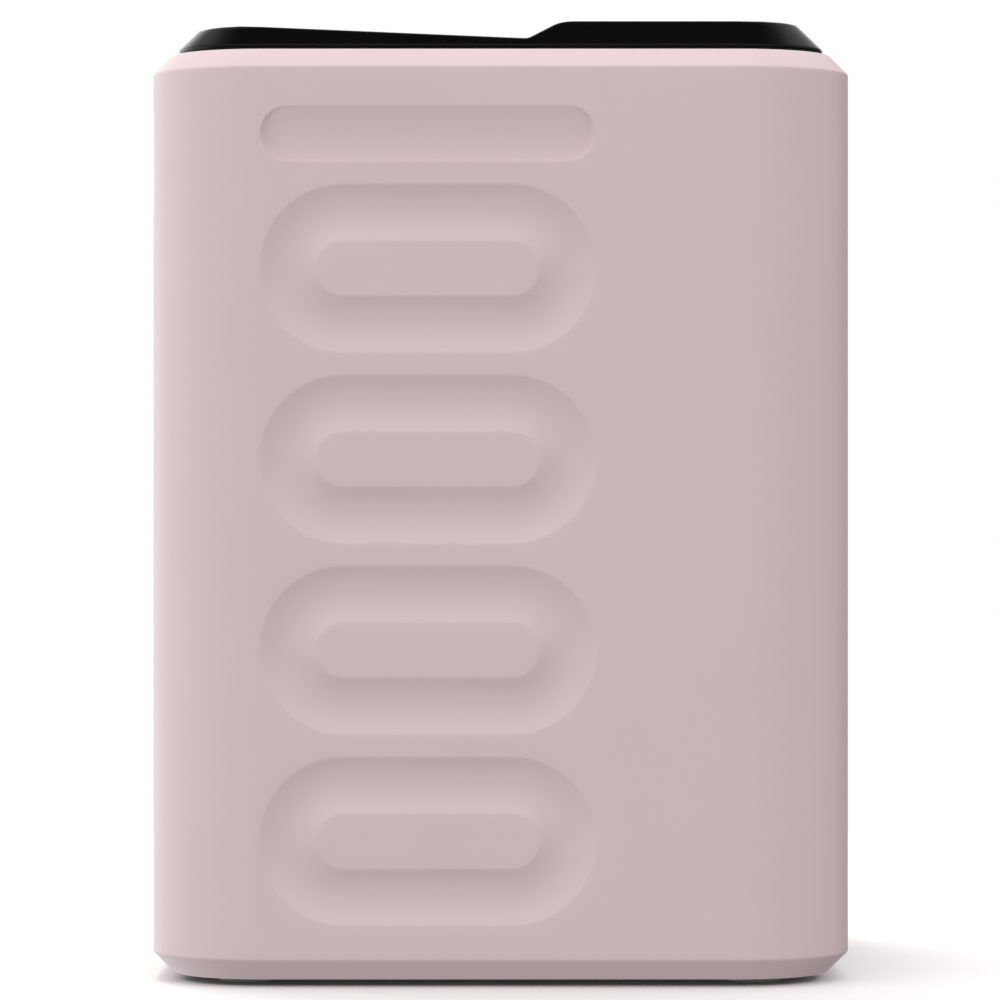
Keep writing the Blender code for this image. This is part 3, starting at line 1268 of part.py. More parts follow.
def mains_entry():
    """A three-pin inlet and a rocker switch in its own bezel."""
    w, h = INLET_SIZE
    face = REAR_Y + INLET_PROUD
    outside = rounded_rectangle(w, h, 0.0018, 2, (INLET_X, ENTRY_Z))
    inlet = new_object("power_inlet", prism(outside, REAR_Y - 0.020, face, "Y"), dark())
    inside = rounded_rectangle(w - 0.0044, h - 0.0044, 0.003, 2, (INLET_X, ENTRY_Z))
    cut(inlet, prism(inside, REAR_Y - 0.0155, face + SLIVER, "Y"))
    pins = []
    for dx, dz in ((-0.007, -0.002), (0.007, -0.002), (0, 0.002)):
        x, z = INLET_X + dx, ENTRY_Z + dz
        pins.append(box((x - 0.001, REAR_Y - 0.0165, z - 0.002), (x + 0.001, REAR_Y - 0.0055, z + 0.002)))
    add(inlet, merged(pins))

    w, h = ROCKER_SIZE
    outside = rounded_rectangle(w + 0.002, h + 0.002, 0.0016, 2, (ROCKER_X, ENTRY_Z))
    bezel = new_object("rocker_bezel", prism(outside, REAR_Y - 0.018, REAR_Y, "Y"), dark())
    inside = rounded_rectangle(w, h, 0.0006, 1, (ROCKER_X, ENTRY_Z))
    cut(bezel, prism(inside, REAR_Y - 0.0150, REAR_Y + SLIVER, "Y"))
    pivot = (ROCKER_X, REAR_Y - ROCKER_PIVOT_DEPTH, ENTRY_Z)
    half = h / 2 - 0.0012
    profile = [
        (half, 0.0030), (half, 0.0058), (0, 0.0043), (-half, 0.0072),
        (-half, 0.0030), (-0.003, -0.0020), (0.003, -0.0020)]
    outline = [(pivot[1] + y, pivot[2] + z) for z, y in profile]
    key = prism(outline, ROCKER_X - w / 2 + 0.0004, ROCKER_X + w / 2 - 0.0004, "X")
    new_object("power_rocker", key, dark(), pivot)


def power_board():
    """The supply board on the rear side, with its transformer, capacitor and relay."""
    face = BOARD_Y
    board = new_object(
        "power_board", box((-0.050, face, BOARD_LOW), (0.050, face + 0.0016, BOARD_HIGH)), laminate())
    behind = face + 0.0008
    transformer = box((-0.040, face - 0.024, BOARD_LOW + 0.012), (-0.010, behind, BOARD_LOW + 0.038))
    relay = box((0.010, face - 0.016, BOARD_LOW + 0.012), (0.028, behind, BOARD_LOW + 0.025))
    capacitor = cylinder(0.009, face - 0.026, behind, (0.026, BOARD_LOW + 0.054), 14, "Y")
    heat_sink = box((-0.034, face - 0.012, BOARD_LOW + 0.054), (-0.012, behind, BOARD_LOW + 0.062))
    posts = [
        cylinder(0.0035, behind, REAR_Y - PANEL_BACK - 0.0004, (x, z), 8, "Y")
        for z in (BOARD_LOW + 0.006, BOARD_HIGH - 0.006) for x in (-0.044, 0.044)
    ]
    add(board, merged([transformer, relay, capacitor, heat_sink, *posts]))


def main():
    for leftover in list(bpy.data.objects):
        bpy.data.objects.remove(leftover)
    housing_shell()
    base_plate()
    feet()
    for number, at in enumerate(base_screw_places(), 1):
        screw(f"base_screw_{number}", at, BODY_BOTTOM + SCREW_HEAD + 0.0002, 0.009)
    deck()
    lid()
    mix_in_cap()
    hinge_pins()
    lid_gasket()
    bowl()
    cooling_well()
    evaporator_coil()
    insulation_cup()
    dasher()
    drive_shaft()
    gears()
    gearcase()
    motor()
    support_bracket()
    compressor()
    condenser()
    fan()
    refrigerant_lines()
    fascia()
    buttons()
    control_board()
    rear_panel()
    mains_entry()
    power_board()


main()
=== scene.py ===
"""Looks for an upright compressor ice cream maker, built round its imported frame.

Everything is in metres, +Z up, with the front towards -Y. Each piece is a surface worked out with numpy.
"""

import math

import bmesh
import bpy
import numpy as np
from bpy.props import (
    FloatProperty, FloatVectorProperty, IntProperty, PointerProperty, StringProperty)
from bpy.types import Operator, Panel, PropertyGroup
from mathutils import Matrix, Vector


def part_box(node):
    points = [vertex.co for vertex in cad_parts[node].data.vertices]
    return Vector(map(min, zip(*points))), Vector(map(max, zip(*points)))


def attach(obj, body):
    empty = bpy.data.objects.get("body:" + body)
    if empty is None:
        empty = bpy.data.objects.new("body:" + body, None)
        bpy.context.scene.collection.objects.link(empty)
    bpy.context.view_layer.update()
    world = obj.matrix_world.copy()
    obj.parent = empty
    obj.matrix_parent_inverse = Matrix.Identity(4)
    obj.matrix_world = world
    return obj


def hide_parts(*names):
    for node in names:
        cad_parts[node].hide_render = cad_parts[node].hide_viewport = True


bl_info = {
    "name": "Ice cream maker looks",
    "version": (1, 0, 0),
    "blender": (4, 5, 0),
    "location": "View3D > Sidebar > Ice cream maker",
    "description": "Moulded housing, gloss lid, controls, rear grille, bowl and studio",
    "category": "Object",
}

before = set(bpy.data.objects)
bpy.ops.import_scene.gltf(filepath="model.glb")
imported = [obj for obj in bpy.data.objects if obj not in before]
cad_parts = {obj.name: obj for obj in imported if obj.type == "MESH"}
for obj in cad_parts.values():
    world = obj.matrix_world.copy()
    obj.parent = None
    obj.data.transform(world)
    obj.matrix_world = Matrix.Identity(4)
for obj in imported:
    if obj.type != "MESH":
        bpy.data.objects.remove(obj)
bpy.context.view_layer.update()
SHELL_LOW, SHELL_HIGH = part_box("housing_shell")
LID_LOW, LID_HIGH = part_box("lid")
DECK_LOW, DECK_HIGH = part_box("deck")
LENS_LOW, LENS_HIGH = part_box("display_lens")
BOWL_LOW, BOWL_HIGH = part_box("bowl")
HALF_WIDTH = SHELL_HIGH.x
HALF_DEPTH = SHELL_HIGH.y
BODY_LOW = SHELL_LOW.z
BODY_TOP = SHELL_HIGH.z
CAP_LOW, CAP_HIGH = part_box("mix_in_cap")
GASKET_LOW, GASKET_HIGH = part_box("lid_gasket")
HINGE_LOW, HINGE_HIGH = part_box("hinge_pin_left")
INLET_LOW, INLET_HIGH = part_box("power_inlet")
BEZEL_LOW, BEZEL_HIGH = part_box("rocker_bezel")
ROCKER_LOW, ROCKER_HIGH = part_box("power_rocker")
SCREW_LOW, SCREW_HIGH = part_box("rear_screw_1")
DASHER_LOW, DASHER_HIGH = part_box("dasher")
BOWL_AXIS = ((BOWL_LOW.x + BOWL_HIGH.x) / 2, (BOWL_LOW.y + BOWL_HIGH.y) / 2)
LID_HALF_DEPTH = -LID_LOW.y
CAP_Y = (CAP_LOW.y + CAP_HIGH.y) / 2
HINGE_Y = (HINGE_LOW.y + HINGE_HIGH.y) / 2
HINGE_Z = (HINGE_LOW.z + HINGE_HIGH.z) / 2
EAR_RADIUS = DECK_HIGH.z - HINGE_Z
CONTROLS_Z = (LENS_LOW.z + LENS_HIGH.z) / 2

MM = 0.001
WELD = 2e-6  # points nearer than this become one
SLACK = 1e-6  # allowance when grid lines are compared
SET_IN = 0.4 * MM  # shadow gap round a part that is set into an opening
INK = 0.06 * MM  # how far a printed mark stands off its face

RING_WINDOW = 0.063  # half the length of the window that a ring's patch fills
FASCIA_WINDOW = 0.096  # half the length of the window that the fascia's patch fills
FASCIA_WIDTH = 0.175
FASCIA_CORNER = 0.008
REAR_HALF = 0.144 / 2
REAR_LOW = 0.018
REAR_HIGH = BODY_TOP - 0.0255
REAR_CORNER = 0.012
DECK_CORNER = 0.0312
MOUTH_RADIUS = 0.0715
LID_CORNER = 0.0309
SLOPE_WALL = 1.4  # a 45-degree wall's height, measured upright, for each unit of thickness
NOTCH_RADIUS = 0.012
EAR_LENGTH = 0.004
KNUCKLE_LENGTH = 0.016
KNUCKLE_RADIUS = 0.0024
KEY_RADIUS = 0.007
SLOT_LENGTH = 0.090
SLOT_HEIGHT = 0.0045
SLOT_PITCH = 0.010
LOW_SLOTS = 7
HIGH_SLOTS = 4
SCREW_HEAD = 0.0032
SCREW_RISE = 0.0018
SCREW_SHANK = 0.0015
TUBE_RADIUS = 0.009
TUBE_TOP = 0.262
SQUARE_HALF = 0.0035
PINS = ("hinge_pin_left", "hinge_pin_right")


# ---------------------------------------------------------------- settings
class ShellSettings(PropertyGroup):
    """The moulded housing and its embossed sides."""

    corner_radius: FloatProperty(
        name="Corner radius", description="Plan radius of the upright corners",
        default=0.040, min=0.01, unit="LENGTH")
    wall: FloatProperty(
        name="Wall", description="Thickness of the moulding", default=0.0055, min=0.001, unit="LENGTH")
    top_chamfer: FloatProperty(
        name="Top chamfer", description="Width of the sloping edge round the top",
        default=0.0068, min=0.001, unit="LENGTH")
    bottom_chamfer: FloatProperty(
        name="Bottom chamfer", description="Width of the sloping edge round the bottom",
        default=0.0075, min=0.001, unit="LENGTH")
    edge: FloatProperty(
        name="Edge softness", description="How far each chamfer's edges are rounded off",
        default=0.0006, min=0.0001, unit="LENGTH")
    band: FloatProperty(
        name="Band", description="Width of a capsule ring's groove", default=0.0197, min=0.005, unit="LENGTH")
    ring_length: FloatProperty(
        name="Ring length", description="Overall length of a capsule ring", default=0.1183, unit="LENGTH")
    ring_pitch: FloatProperty(
        name="Ring pitch", description="Spacing of the rings up the side", default=0.0672, unit="LENGTH")
    ring_depth: FloatProperty(
        name="Ring depth", description="Depth of a groove at its middle", default=0.0025, unit="LENGTH")
    rings: IntProperty(
        name="Rings", description="Capsule rings on each side", default=4, min=1, max=4)
    recess_y: FloatProperty(
        name="Recess place", description="Where the middle of the rings and the scoop is, front to back",
        default=-0.0257, unit="LENGTH")
    scoop_z: FloatProperty(
        name="Scoop height", description="Height of the straight scoop's middle",
        default=0.30105, unit="LENGTH")
    scoop_depth: FloatProperty(
        name="Scoop depth", description="Depth of the straight scoop", default=0.0024, unit="LENGTH")


class LidSettings(PropertyGroup):
    """The hinged lid and its mix-in cap."""

    rim: FloatProperty(
        name="Rim", description="Height of the upright rim under the sloping edge",
        default=0.0014, unit="LENGTH")
    wall: FloatProperty(name="Wall", description="Thickness of the lid", default=0.0025, unit="LENGTH")
    ridge: FloatProperty(
        name="Front ridge", description="Height of the front ridge above the deck",
        default=0.0090, unit="LENGTH")
    valley: FloatProperty(
        name="Valley", description="Height of the lowest line above the deck",
        default=0.0042, unit="LENGTH")
    plateau: FloatProperty(
        name="Plateau", description="Height of the rear plateau above the deck",
        default=0.0109, unit="LENGTH")
    ridge_y: FloatProperty(
        name="Ridge place", description="Where the front ridge is, front to back",
        default=-0.092, unit="LENGTH")
    valley_y: FloatProperty(
        name="Valley place", description="Where the valley is, front to back",
        default=0.0096, unit="LENGTH")
    step_slope: FloatProperty(name="Step slope", description="Rise over run of the step", default=0.56)
    softness: FloatProperty(
        name="Edge softness", description="Rounding where the sloping edge meets the top",
        default=0.0004, unit="LENGTH")
    cap_length: FloatProperty(
        name="Cap length", description="Length of the mix-in opening", default=0.060, unit="LENGTH")
    cap_width: FloatProperty(
        name="Cap width", description="Width of the mix-in opening", default=0.030, unit="LENGTH")
    cap_ledge: FloatProperty(
        name="Cap ledge", description="Width of the ledge that the cap rests on",
        default=0.0030, unit="LENGTH")


class FinishSettings(PropertyGroup):
    """Colours as sRGB hex values."""

    housing: StringProperty(name="Housing", description="Gloss ABS of the housing", default="#D2BDBF")
    lid: StringProperty(name="Lid", description="Gloss black of the lid", default="#080809")
    inner: StringProperty(name="Inner mouldings", description="Charcoal inner mouldings", default="#2B2B2D")
    paddle: StringProperty(name="Dasher", description="Natural acetal of the dasher", default="#E9E6DF")
    floor: StringProperty(name="Floor", description="Studio floor", default="#F4F3F1")


class StudioSettings(PropertyGroup):
    """Camera, lights and floor."""

    camera_place: FloatVectorProperty(
        name="Camera", description="Where the camera stands",
        default=(1.803, 0.0, 0.172), unit="LENGTH")
    camera_lens: FloatProperty(name="Lens", description="Focal length in millimetres", default=172.4)
    camera_slide: FloatProperty(
        name="Slide", description="Sideways offset of the camera", default=-0.00026, unit="LENGTH")
    ambient: FloatProperty(
        name="Ambient", description="Mean strength of the surrounding light", default=0.965)
    overhead: FloatProperty(
        name="Overhead", description="How much brighter the light from above is", default=0.55)
    front: FloatProperty(
        name="Front", description="How much brighter the light from the front is", default=0.18)
    reflection: FloatProperty(
        name="Reflection", description="Brightness of the band in reflections", default=0.45)
    key: FloatProperty(
        name="Key light", description="Power of the overhead softbox in watts", default=12.0)


class MakerSettings(PropertyGroup):
    """All of the ice cream maker's settings."""

    shell: PointerProperty(type=ShellSettings, name="Shell", description="Housing sizes")
    lid: PointerProperty(type=LidSettings, name="Lid", description="Lid sizes")
    finish: PointerProperty(type=FinishSettings, name="Finishes", description="Colours")
    studio: PointerProperty(type=StudioSettings, name="Studio", description="Camera, lights and floor")


def settings():
    return bpy.context.scene.ice_cream_maker


# ---------------------------------------------------------------- surfaces
def sheet(points, around=False, over=False, keep=None):
    """Four-sided faces between a grid's neighbouring points.

    around joins the last column to the first, over joins the last row to the first, and keep
    says which faces stay. Gives the points as a list and the faces as rows of four indices.
    """
    points = np.asarray(points, float)
    index = np.arange(points.shape[0] * points.shape[1]).reshape(points.shape[:2])
    if around:
        index = np.hstack([index, index[:, :1]])
    if over:
        index = np.vstack([index, index[:1]])
    faces = np.stack([index[:-1, :-1], index[:-1, 1:], index[1:, 1:], index[1:, :-1]], axis=-1)
    faces = faces.reshape(-1, 4) if keep is None else faces[keep]
    return points.reshape(-1, 3), faces


def welded(name, sheets):
    """An object of sheets joined into one mesh, their shared edges welded, its faces outwards."""
    starts = np.cumsum([0] + [len(points) for points, _ in sheets[:-1]])
    points = np.concatenate([p for p, _ in sheets])
    faces = np.concatenate([f + start for (_, f), start in zip(sheets, starts)])
    mesh = bpy.data.meshes.new(name)
    mesh.from_pydata(points.tolist(), [], faces.tolist())
    shape = bmesh.new()
    shape.from_mesh(mesh)
    bmesh.ops.remove_doubles(shape, verts=shape.verts, dist=WELD)
    bmesh.ops.recalc_face_normals(shape, faces=shape.faces)
    shape.to_mesh(mesh)
    shape.free()
    made = bpy.data.objects.new(name, mesh)
    bpy.context.scene.collection.objects.link(made)
    return made


def piece(name, sheets, finish, body, stands_for=(), crease=35):
    """Makes a finished piece from sheets, and has it ride on a body in place of its plain parts.

    Edges that bend by more than crease degrees stay sharp, and the rest are shaded smooth.
    """
    made = welded(name, sheets)
    made.data.shade_smooth()
    made.data.set_sharp_from_angle(angle=math.radians(crease))
    made.data.materials.append(finish)
    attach(made, body)
    if stands_for:
        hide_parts(*stands_for)
    return made


def softened(corners, cut, steps=4, closed=True):
    """A path whose corners are rounded: each becomes a parabola between points cut away on either side.

    B(t) = (1-t)^2 before + 2t(1-t) corner + t^2 after, with cut limited to 45% of the shorter neighbour.
    """
    corners = np.asarray(corners, float)
    back = np.roll(corners, 1, axis=0) - corners
    ahead = np.roll(corners, -1, axis=0) - corners
    back_length = np.linalg.norm(back, axis=1)
    ahead_length = np.linalg.norm(ahead, axis=1)
    reach = np.minimum(np.broadcast_to(cut, len(corners)), 0.45 * np.minimum(back_length, ahead_length))
    if not closed:
        reach = reach * np.r_[0, np.ones(len(corners) - 2), 0]
    before = corners + back * (reach / back_length)[:, None]
    after = corners + ahead * (reach / ahead_length)[:, None]
    t = np.linspace(0, 1, steps + 1)[None, :, None]
    path = (1 - t) ** 2 * before[:, None] + 2 * t * (1 - t) * corners[:, None] + t ** 2 * after[:, None]
    path = path.reshape(-1, 2)
    apart = np.linalg.norm(np.diff(path, axis=0), axis=1) > 1e-7
    return path[np.r_[True, apart]]


def spun(profile, centre, axis="Z", segments=96, closed=True):
    """A profile of (radius, height) points carried round an axis: (r cos a, r sin a, h).

    closed joins the profile's last point to its first. Otherwise its ends lie on the axis.
    """
    profile = np.asarray(profile, float)
    angle = np.linspace(0, 2 * np.pi, segments, endpoint=False)
    radius, height = profile[:, :1], profile[:, 1:]
    a, b = radius * np.cos(angle), radius * np.sin(angle)
    c = np.broadcast_to(height, a.shape)
    stack = {"Z": (a, b, c), "Y": (a, c, b), "X": (c, a, b)}[axis]
    return sheet(np.stack(stack, axis=-1) + np.asarray(centre), around=True, over=closed)


def corner_fan(half, radius, turns=10, along=1):
    """Points round a rounded rectangle as (core point, outward direction) pairs.

    A point at distance r from the core is core + r * direction, so every r gives an outline offset
    from the same core rectangle. half is the half-size, radius the corner radius, and along the
    number of steps on each straight side.
    """
    core = np.maximum(np.asarray(half, float) - radius, 0)
    angle = np.linspace(0, np.pi / 2, turns + 1)
    fan, ways = [], []
    for quarter, signs in enumerate(((1, 1), (-1, 1), (-1, -1), (1, -1))):
        turn = angle + quarter * np.pi / 2
        here = np.tile(core * signs, (len(turn), 1))
        way = np.stack([np.cos(turn), np.sin(turn)], axis=-1)
        following = core * ((-1, 1), (-1, -1), (1, -1), (1, 1))[quarter]
        share = np.linspace(0, 1, along + 1)[1:-1, None]
        fan += [here, here[-1:] + share * (following - here[-1:])]
        ways += [way, np.repeat(way[-1:], along - 1, axis=0)]
    return np.concatenate(fan), np.concatenate(ways)


def stacked(fan, rows, place):
    """Rows of (core share, distance, height) round a fan, put in space by place(u, v, height).

    (u, v) = share * core + distance * direction. A share and distance of 0 close a face at its middle.
    """
    core, way = fan
    share, distance, height = (np.asarray(column, float)[:, None] for column in zip(*rows))
    u = share * core[:, 0] + distance * way[:, 0]
    v = share * core[:, 1] + distance * way[:, 1]
    return np.stack(place(u, v, np.broadcast_to(height, u.shape)), axis=-1)


def edge_rows(radius, top, edge, steps=3, share=1):
    """Rows of a rounded edge, from the flat face at height top down to its side: a quarter circle."""
    angle = np.linspace(0, np.pi / 2, steps + 1)
    return [(share, radius - edge * (1 - math.sin(a)), top - edge * (1 - math.cos(a))) for a in angle]


def window_loop(across, up):
    """The outline of a rectangular patch of a grid, anticlockwise, as (u, v) points on its lines."""
    low = np.stack([across, np.full(len(across), up[0])], axis=-1)
    right = np.stack([np.full(len(up), across[-1]), up], axis=-1)
    high = np.stack([across[::-1], np.full(len(across), up[-1])], axis=-1)
    left = np.stack([np.full(len(up), across[0]), up[::-1]], axis=-1)
    return np.concatenate([low[:-1], right[:-1], high[:-1], left[:-1]])


def rays(loop, centre, core):
    """For each point of a loop: the nearest point of a core, the way to it and how far it is.

    core is the half-size of a rectangle, of a line where one value is 0, or of a point where both are.
    """
    nearest = centre + np.clip(loop - centre, -np.asarray(core), core)
    gap = loop - nearest
    reach = np.linalg.norm(gap, axis=1)
    return nearest, gap / reach[:, None], reach


def between(lines, low, high):
    """The lines from low to high, both included."""
    return lines[(lines > low - SLACK) & (lines < high + SLACK)]


def cells(lines, low, high):
    """The grid cells from low to high, each by the number of its first line."""
    return np.flatnonzero((lines > low - SLACK) & (lines < high - SLACK))


def upright(x, y, z):
    """A place for a block whose height is along Z."""
    return lambda u, v, h: (x + u, y + v, z + h)


def facing(x, y, z):
    """A place for a block whose height is along Y."""
    return lambda u, v, h: (x + u, y + h, z + v)


def sideways(x, y, z):
    """A place for a block whose height is along X."""
    return lambda u, v, h: (x + h, y + u, z + v)


def middle_of(low, high):
    """The middle of a box, along X, Y and Z."""
    return ((low.x + high.x) / 2, (low.y + high.y) / 2, (low.z + high.z) / 2)


def spread(stops, cells):
    """Evenly spaced lines between stops, with that many cells in each stretch."""
    runs = [np.linspace(a, b, n + 1)[:-1] for a, b, n in zip(stops, stops[1:], cells)]
    return np.concatenate([*runs, [stops[-1]]])


# ---------------------------------------------------------------- housing
def quarter_length():
    """Arc length of the housing's outline from the middle of a side to the middle of the rear."""
    radius = settings().shell.corner_radius
    return (HALF_DEPTH - radius) + (HALF_WIDTH - radius) + radius * math.pi / 2


def wrap(s, z, depth):
    """A point on the housing: s is arc length round the outline from the middle of the +X side.

    The outline is two straights joined by a quarter circle, mirrored into the other quarters, and
    the point lies depth inwards along the outline's normal.
    """
    radius = settings().shell.corner_radius
    long_side, short_side = HALF_DEPTH - radius, HALF_WIDTH - radius
    quarter = quarter_length()
    s, z, depth = np.broadcast_arrays(s, z, depth)
    s = (s + 2 * quarter) % (4 * quarter) - 2 * quarter
    far = np.abs(s) > quarter
    run = np.where(far, 2 * quarter - np.abs(s), np.abs(s))
    angle = np.clip((run - long_side) / radius, 0, np.pi / 2)
    rest = np.clip(run - long_side - radius * np.pi / 2, 0, short_side)
    x = (short_side + (radius - depth) * np.cos(angle) - rest) * np.where(far, -1, 1)
    y = (np.minimum(run, long_side) + (radius - depth) * np.sin(angle)) * np.where(s < 0, -1, 1)
    return x, y, z


def shell_lines(shell):
    """The housing grid's lines: arc lengths round half the outline and heights up the face."""
    radius = shell.corner_radius
    quarter = quarter_length()
    arc_end = HALF_DEPTH - radius + radius * math.pi / 2
    ring_low, ring_high = shell.recess_y - RING_WINDOW, shell.recess_y + RING_WINDOW
    half = spread(
        (-quarter, FASCIA_WINDOW - quarter, ring_low, ring_high, HALF_DEPTH - radius, arc_end, quarter),
        (24, 11, 30, 11, 14, 18))
    around = np.concatenate([half, (2 * quarter - half[::-1])[1:-1]])
    rings_top = ring_middles(shell)[0] + shell.ring_pitch / 2
    rings_low = rings_top - shell.rings * shell.ring_pitch
    scoop_top = 2 * shell.scoop_z - rings_top
    up = spread(
        (rings_low - 0.0042, rings_low, rings_top, scoop_top, scoop_top + 0.0049),
        (1, 16 * shell.rings, 7, 1))
    return around, up


def ring_middles(shell):
    """Heights of the rings' middles, highest first."""
    highest = shell.scoop_z - shell.band / 2 - (shell.ring_pitch - 3 * shell.band) - 1.5 * shell.band
    return highest - shell.ring_pitch * np.arange(shell.rings)


def ring_patch(loop, middle, shell):
    """A capsule ring pressed into the side: an arc-bottomed groove between two capsules.

    Depth is the circle sqrt(R^2 - q^2) - (R - D) across the band, q being the distance from its
    middle line, blended into the flat wall by (d + sqrt(d^2 + k^2)) / 2.
    """
    half, deep = shell.band / 2, shell.ring_depth
    outer = 1.5 * shell.band
    nearest, way, reach = rays(loop, middle, (shell.ring_length / 2 - outer, 0))
    lip = np.array([-0.9, -0.45, -0.15, 0.15, 0.45, 0.9]) * MM
    across = np.concatenate([-half + lip, np.linspace(-half, half, 14)[2:-2], half + lip])
    inner = np.linspace(0, half - 1.6 * MM, 3)
    distance = np.concatenate([inner, 2 * half + across])
    share = np.linspace(0, 1, 4)[1:, None]
    last = distance[-1]
    rows = np.concatenate([
        np.broadcast_to(distance[:, None], (len(distance), len(loop))), last + (reach - last) * share])
    q = np.abs(rows - 2 * half)
    radius = (half ** 2 + deep ** 2) / (2 * deep)
    arc = np.sqrt(np.maximum(radius ** 2 - q ** 2, 0)) - (radius - deep)
    blend = 0.22 * MM
    depth = np.where(q > half + 1.0 * MM, 0, (arc + np.sqrt(arc ** 2 + blend ** 2)) / 2)
    return pressed(nearest, way, rows, depth)


def scoop_patch(loop, middle, shell):
    """The straight scoop: a capsule hollow with a long slope from the top and a steep edge elsewhere.

    Depth is the lower of D (1 - (s/a - 1)^2), s being the fall from the top edge and a where the
    hollow is deepest, and 1.25 e, e being the distance in from the edge, blended together.
    """
    outer = shell.band / 2
    nearest, way, reach = rays(loop, middle, (shell.ring_length / 2 - outer, 0))
    lip = np.array([-1.9, -1.6, -1.3, -1.0, -0.75, -0.5, -0.3, -0.12, 0.05, 0.25, 0.5]) * MM
    distance = np.concatenate([np.linspace(0, outer - 2.3 * MM, 11), outer + lip])
    share = np.linspace(0, 1, 4)[1:, None]
    last = distance[-1]
    rows = np.concatenate([
        np.broadcast_to(distance[:, None], (len(distance), len(loop))), last + (reach - last) * share])
    fallen = middle[1] + outer - (nearest[:, 1] + way[:, 1] * rows)
    deepest = 0.64 * shell.band
    slope = shell.scoop_depth * (1 - ((fallen - deepest) / deepest) ** 2)
    lip = 1.25 * (outer - rows)
    blend = 0.22 * MM
    depth = (slope + lip - np.sqrt((slope - lip) ** 2 + blend ** 2)) / 2
    depth = (depth + np.sqrt(depth ** 2 + (0.1 * MM) ** 2)) / 2 * (rows < outer + 0.4 * MM)
    return pressed(nearest, way, rows, depth)


def pressed(nearest, way, rows, depth):
    """Puts a patch's rows on the housing's face, depth below it. Gives one sheet for each side."""
    s = nearest[:, 0] + way[:, 0] * rows
    z = nearest[:, 1] + way[:, 1] * rows
    right = np.stack(wrap(s, z, depth), axis=-1)
    left = right * (-1, 1, 1)
    return [sheet(right, around=True), sheet(left, around=True)]


def through_patch(loop, centre, half, radius, place, face, back, edge, wall=(), steps=2):
    """Lines an opening: from the back's grid to its edge, through the wall and out to the face's grid.

    The opening is a rounded rectangle, drawn as every point at one distance from its core. wall
    lists (distance, depth) points of a stepped bore, from the back to the face.
    """
    core = np.maximum(np.asarray(half, float) - radius, 0)
    nearest, way, reach = rays(loop, centre, core)
    level = np.ones(len(loop))
    bore = wall[0][0] if wall else radius
    shares = np.linspace(1, 0, steps + 1)[:, None]
    turn = np.linspace(0, np.pi / 2, 5)[:, None]
    steps_in = np.array(wall[1:] if wall else np.zeros((0, 2)), float).reshape(-1, 2)
    behind = bore + (reach - bore) * shares
    rounding = radius + edge * (1 - np.cos(turn)) * level
    ahead = radius + edge + (reach - radius - edge) * shares[::-1][1:]
    distance = np.concatenate([behind, steps_in[:, :1] * level, rounding, ahead])
    depth = np.concatenate([
        np.full(behind.shape, back), steps_in[:, 1:] * level, face + edge * (1 - np.sin(turn)) * level,
        np.full(ahead.shape, face)])
    u = nearest[:, 0] + way[:, 0] * distance
    v = nearest[:, 1] + way[:, 1] * distance
    return sheet(np.stack(place(u, v, depth), axis=-1), around=True)


def clipped_corner(points, centre, core, radius):
    """Brings points that lie past a rounded corner back onto its arc."""
    nearest = centre + np.clip(points - centre, -core, core)
    gap = points - nearest
    reach = np.linalg.norm(gap, axis=-1, keepdims=True)
    return np.where(reach > radius, nearest + gap * radius / np.maximum(reach, 1e-12), points)


def moulded_plate(across, up, radius, holes, place, face, back, edge):
    """A plate with both faces, a rounded outline and lined openings.

    Both faces are the grid of across and up, with its outer points brought in to the corner arcs.
    holes lists (u range, v range, centre, half-size, corner radius, stepped wall).
    """
    centre = np.array([(across[0] + across[-1]) / 2, (up[0] + up[-1]) / 2])
    core = np.array([across[-1] - across[0], up[-1] - up[0]]) / 2 - radius
    flat = clipped_corner(np.stack(np.meshgrid(across, up), axis=-1), centre, core, radius)
    keep = np.ones((len(up) - 1, len(across) - 1), bool)
    sheets = []
    for u_range, v_range, middle, half, corner, wall in holes:
        keep[np.ix_(cells(up, *v_range), cells(across, *u_range))] = False
        loop = window_loop(between(across, *u_range), between(up, *v_range))
        loop = clipped_corner(loop, centre, core, radius)
        sheets.append(through_patch(loop, np.array(middle), half, corner, place, face, back, edge, wall))
    for depth in (face, back):
        grid = np.stack(place(flat[..., 0], flat[..., 1], np.full(flat.shape[:2], depth)), axis=-1)
        sheets.append(sheet(grid, keep=keep))
    rim = clipped_corner(window_loop(across, up), centre, core, radius)
    nearest, way, _ = rays(rim, centre, core)
    turn = np.linspace(0, np.pi / 2, 5)
    distance = np.concatenate([radius + edge * np.sin(turn), [radius + edge, radius]])[:, None]
    depth = np.concatenate([face + edge * (1 - np.cos(turn)), [back, back]])[:, None] * np.ones(len(rim))
    u = nearest[:, 0] + way[:, 0] * distance
    v = nearest[:, 1] + way[:, 1] * distance
    sheets.append(sheet(np.stack(place(u, v, depth), axis=-1), around=True))
    return sheets


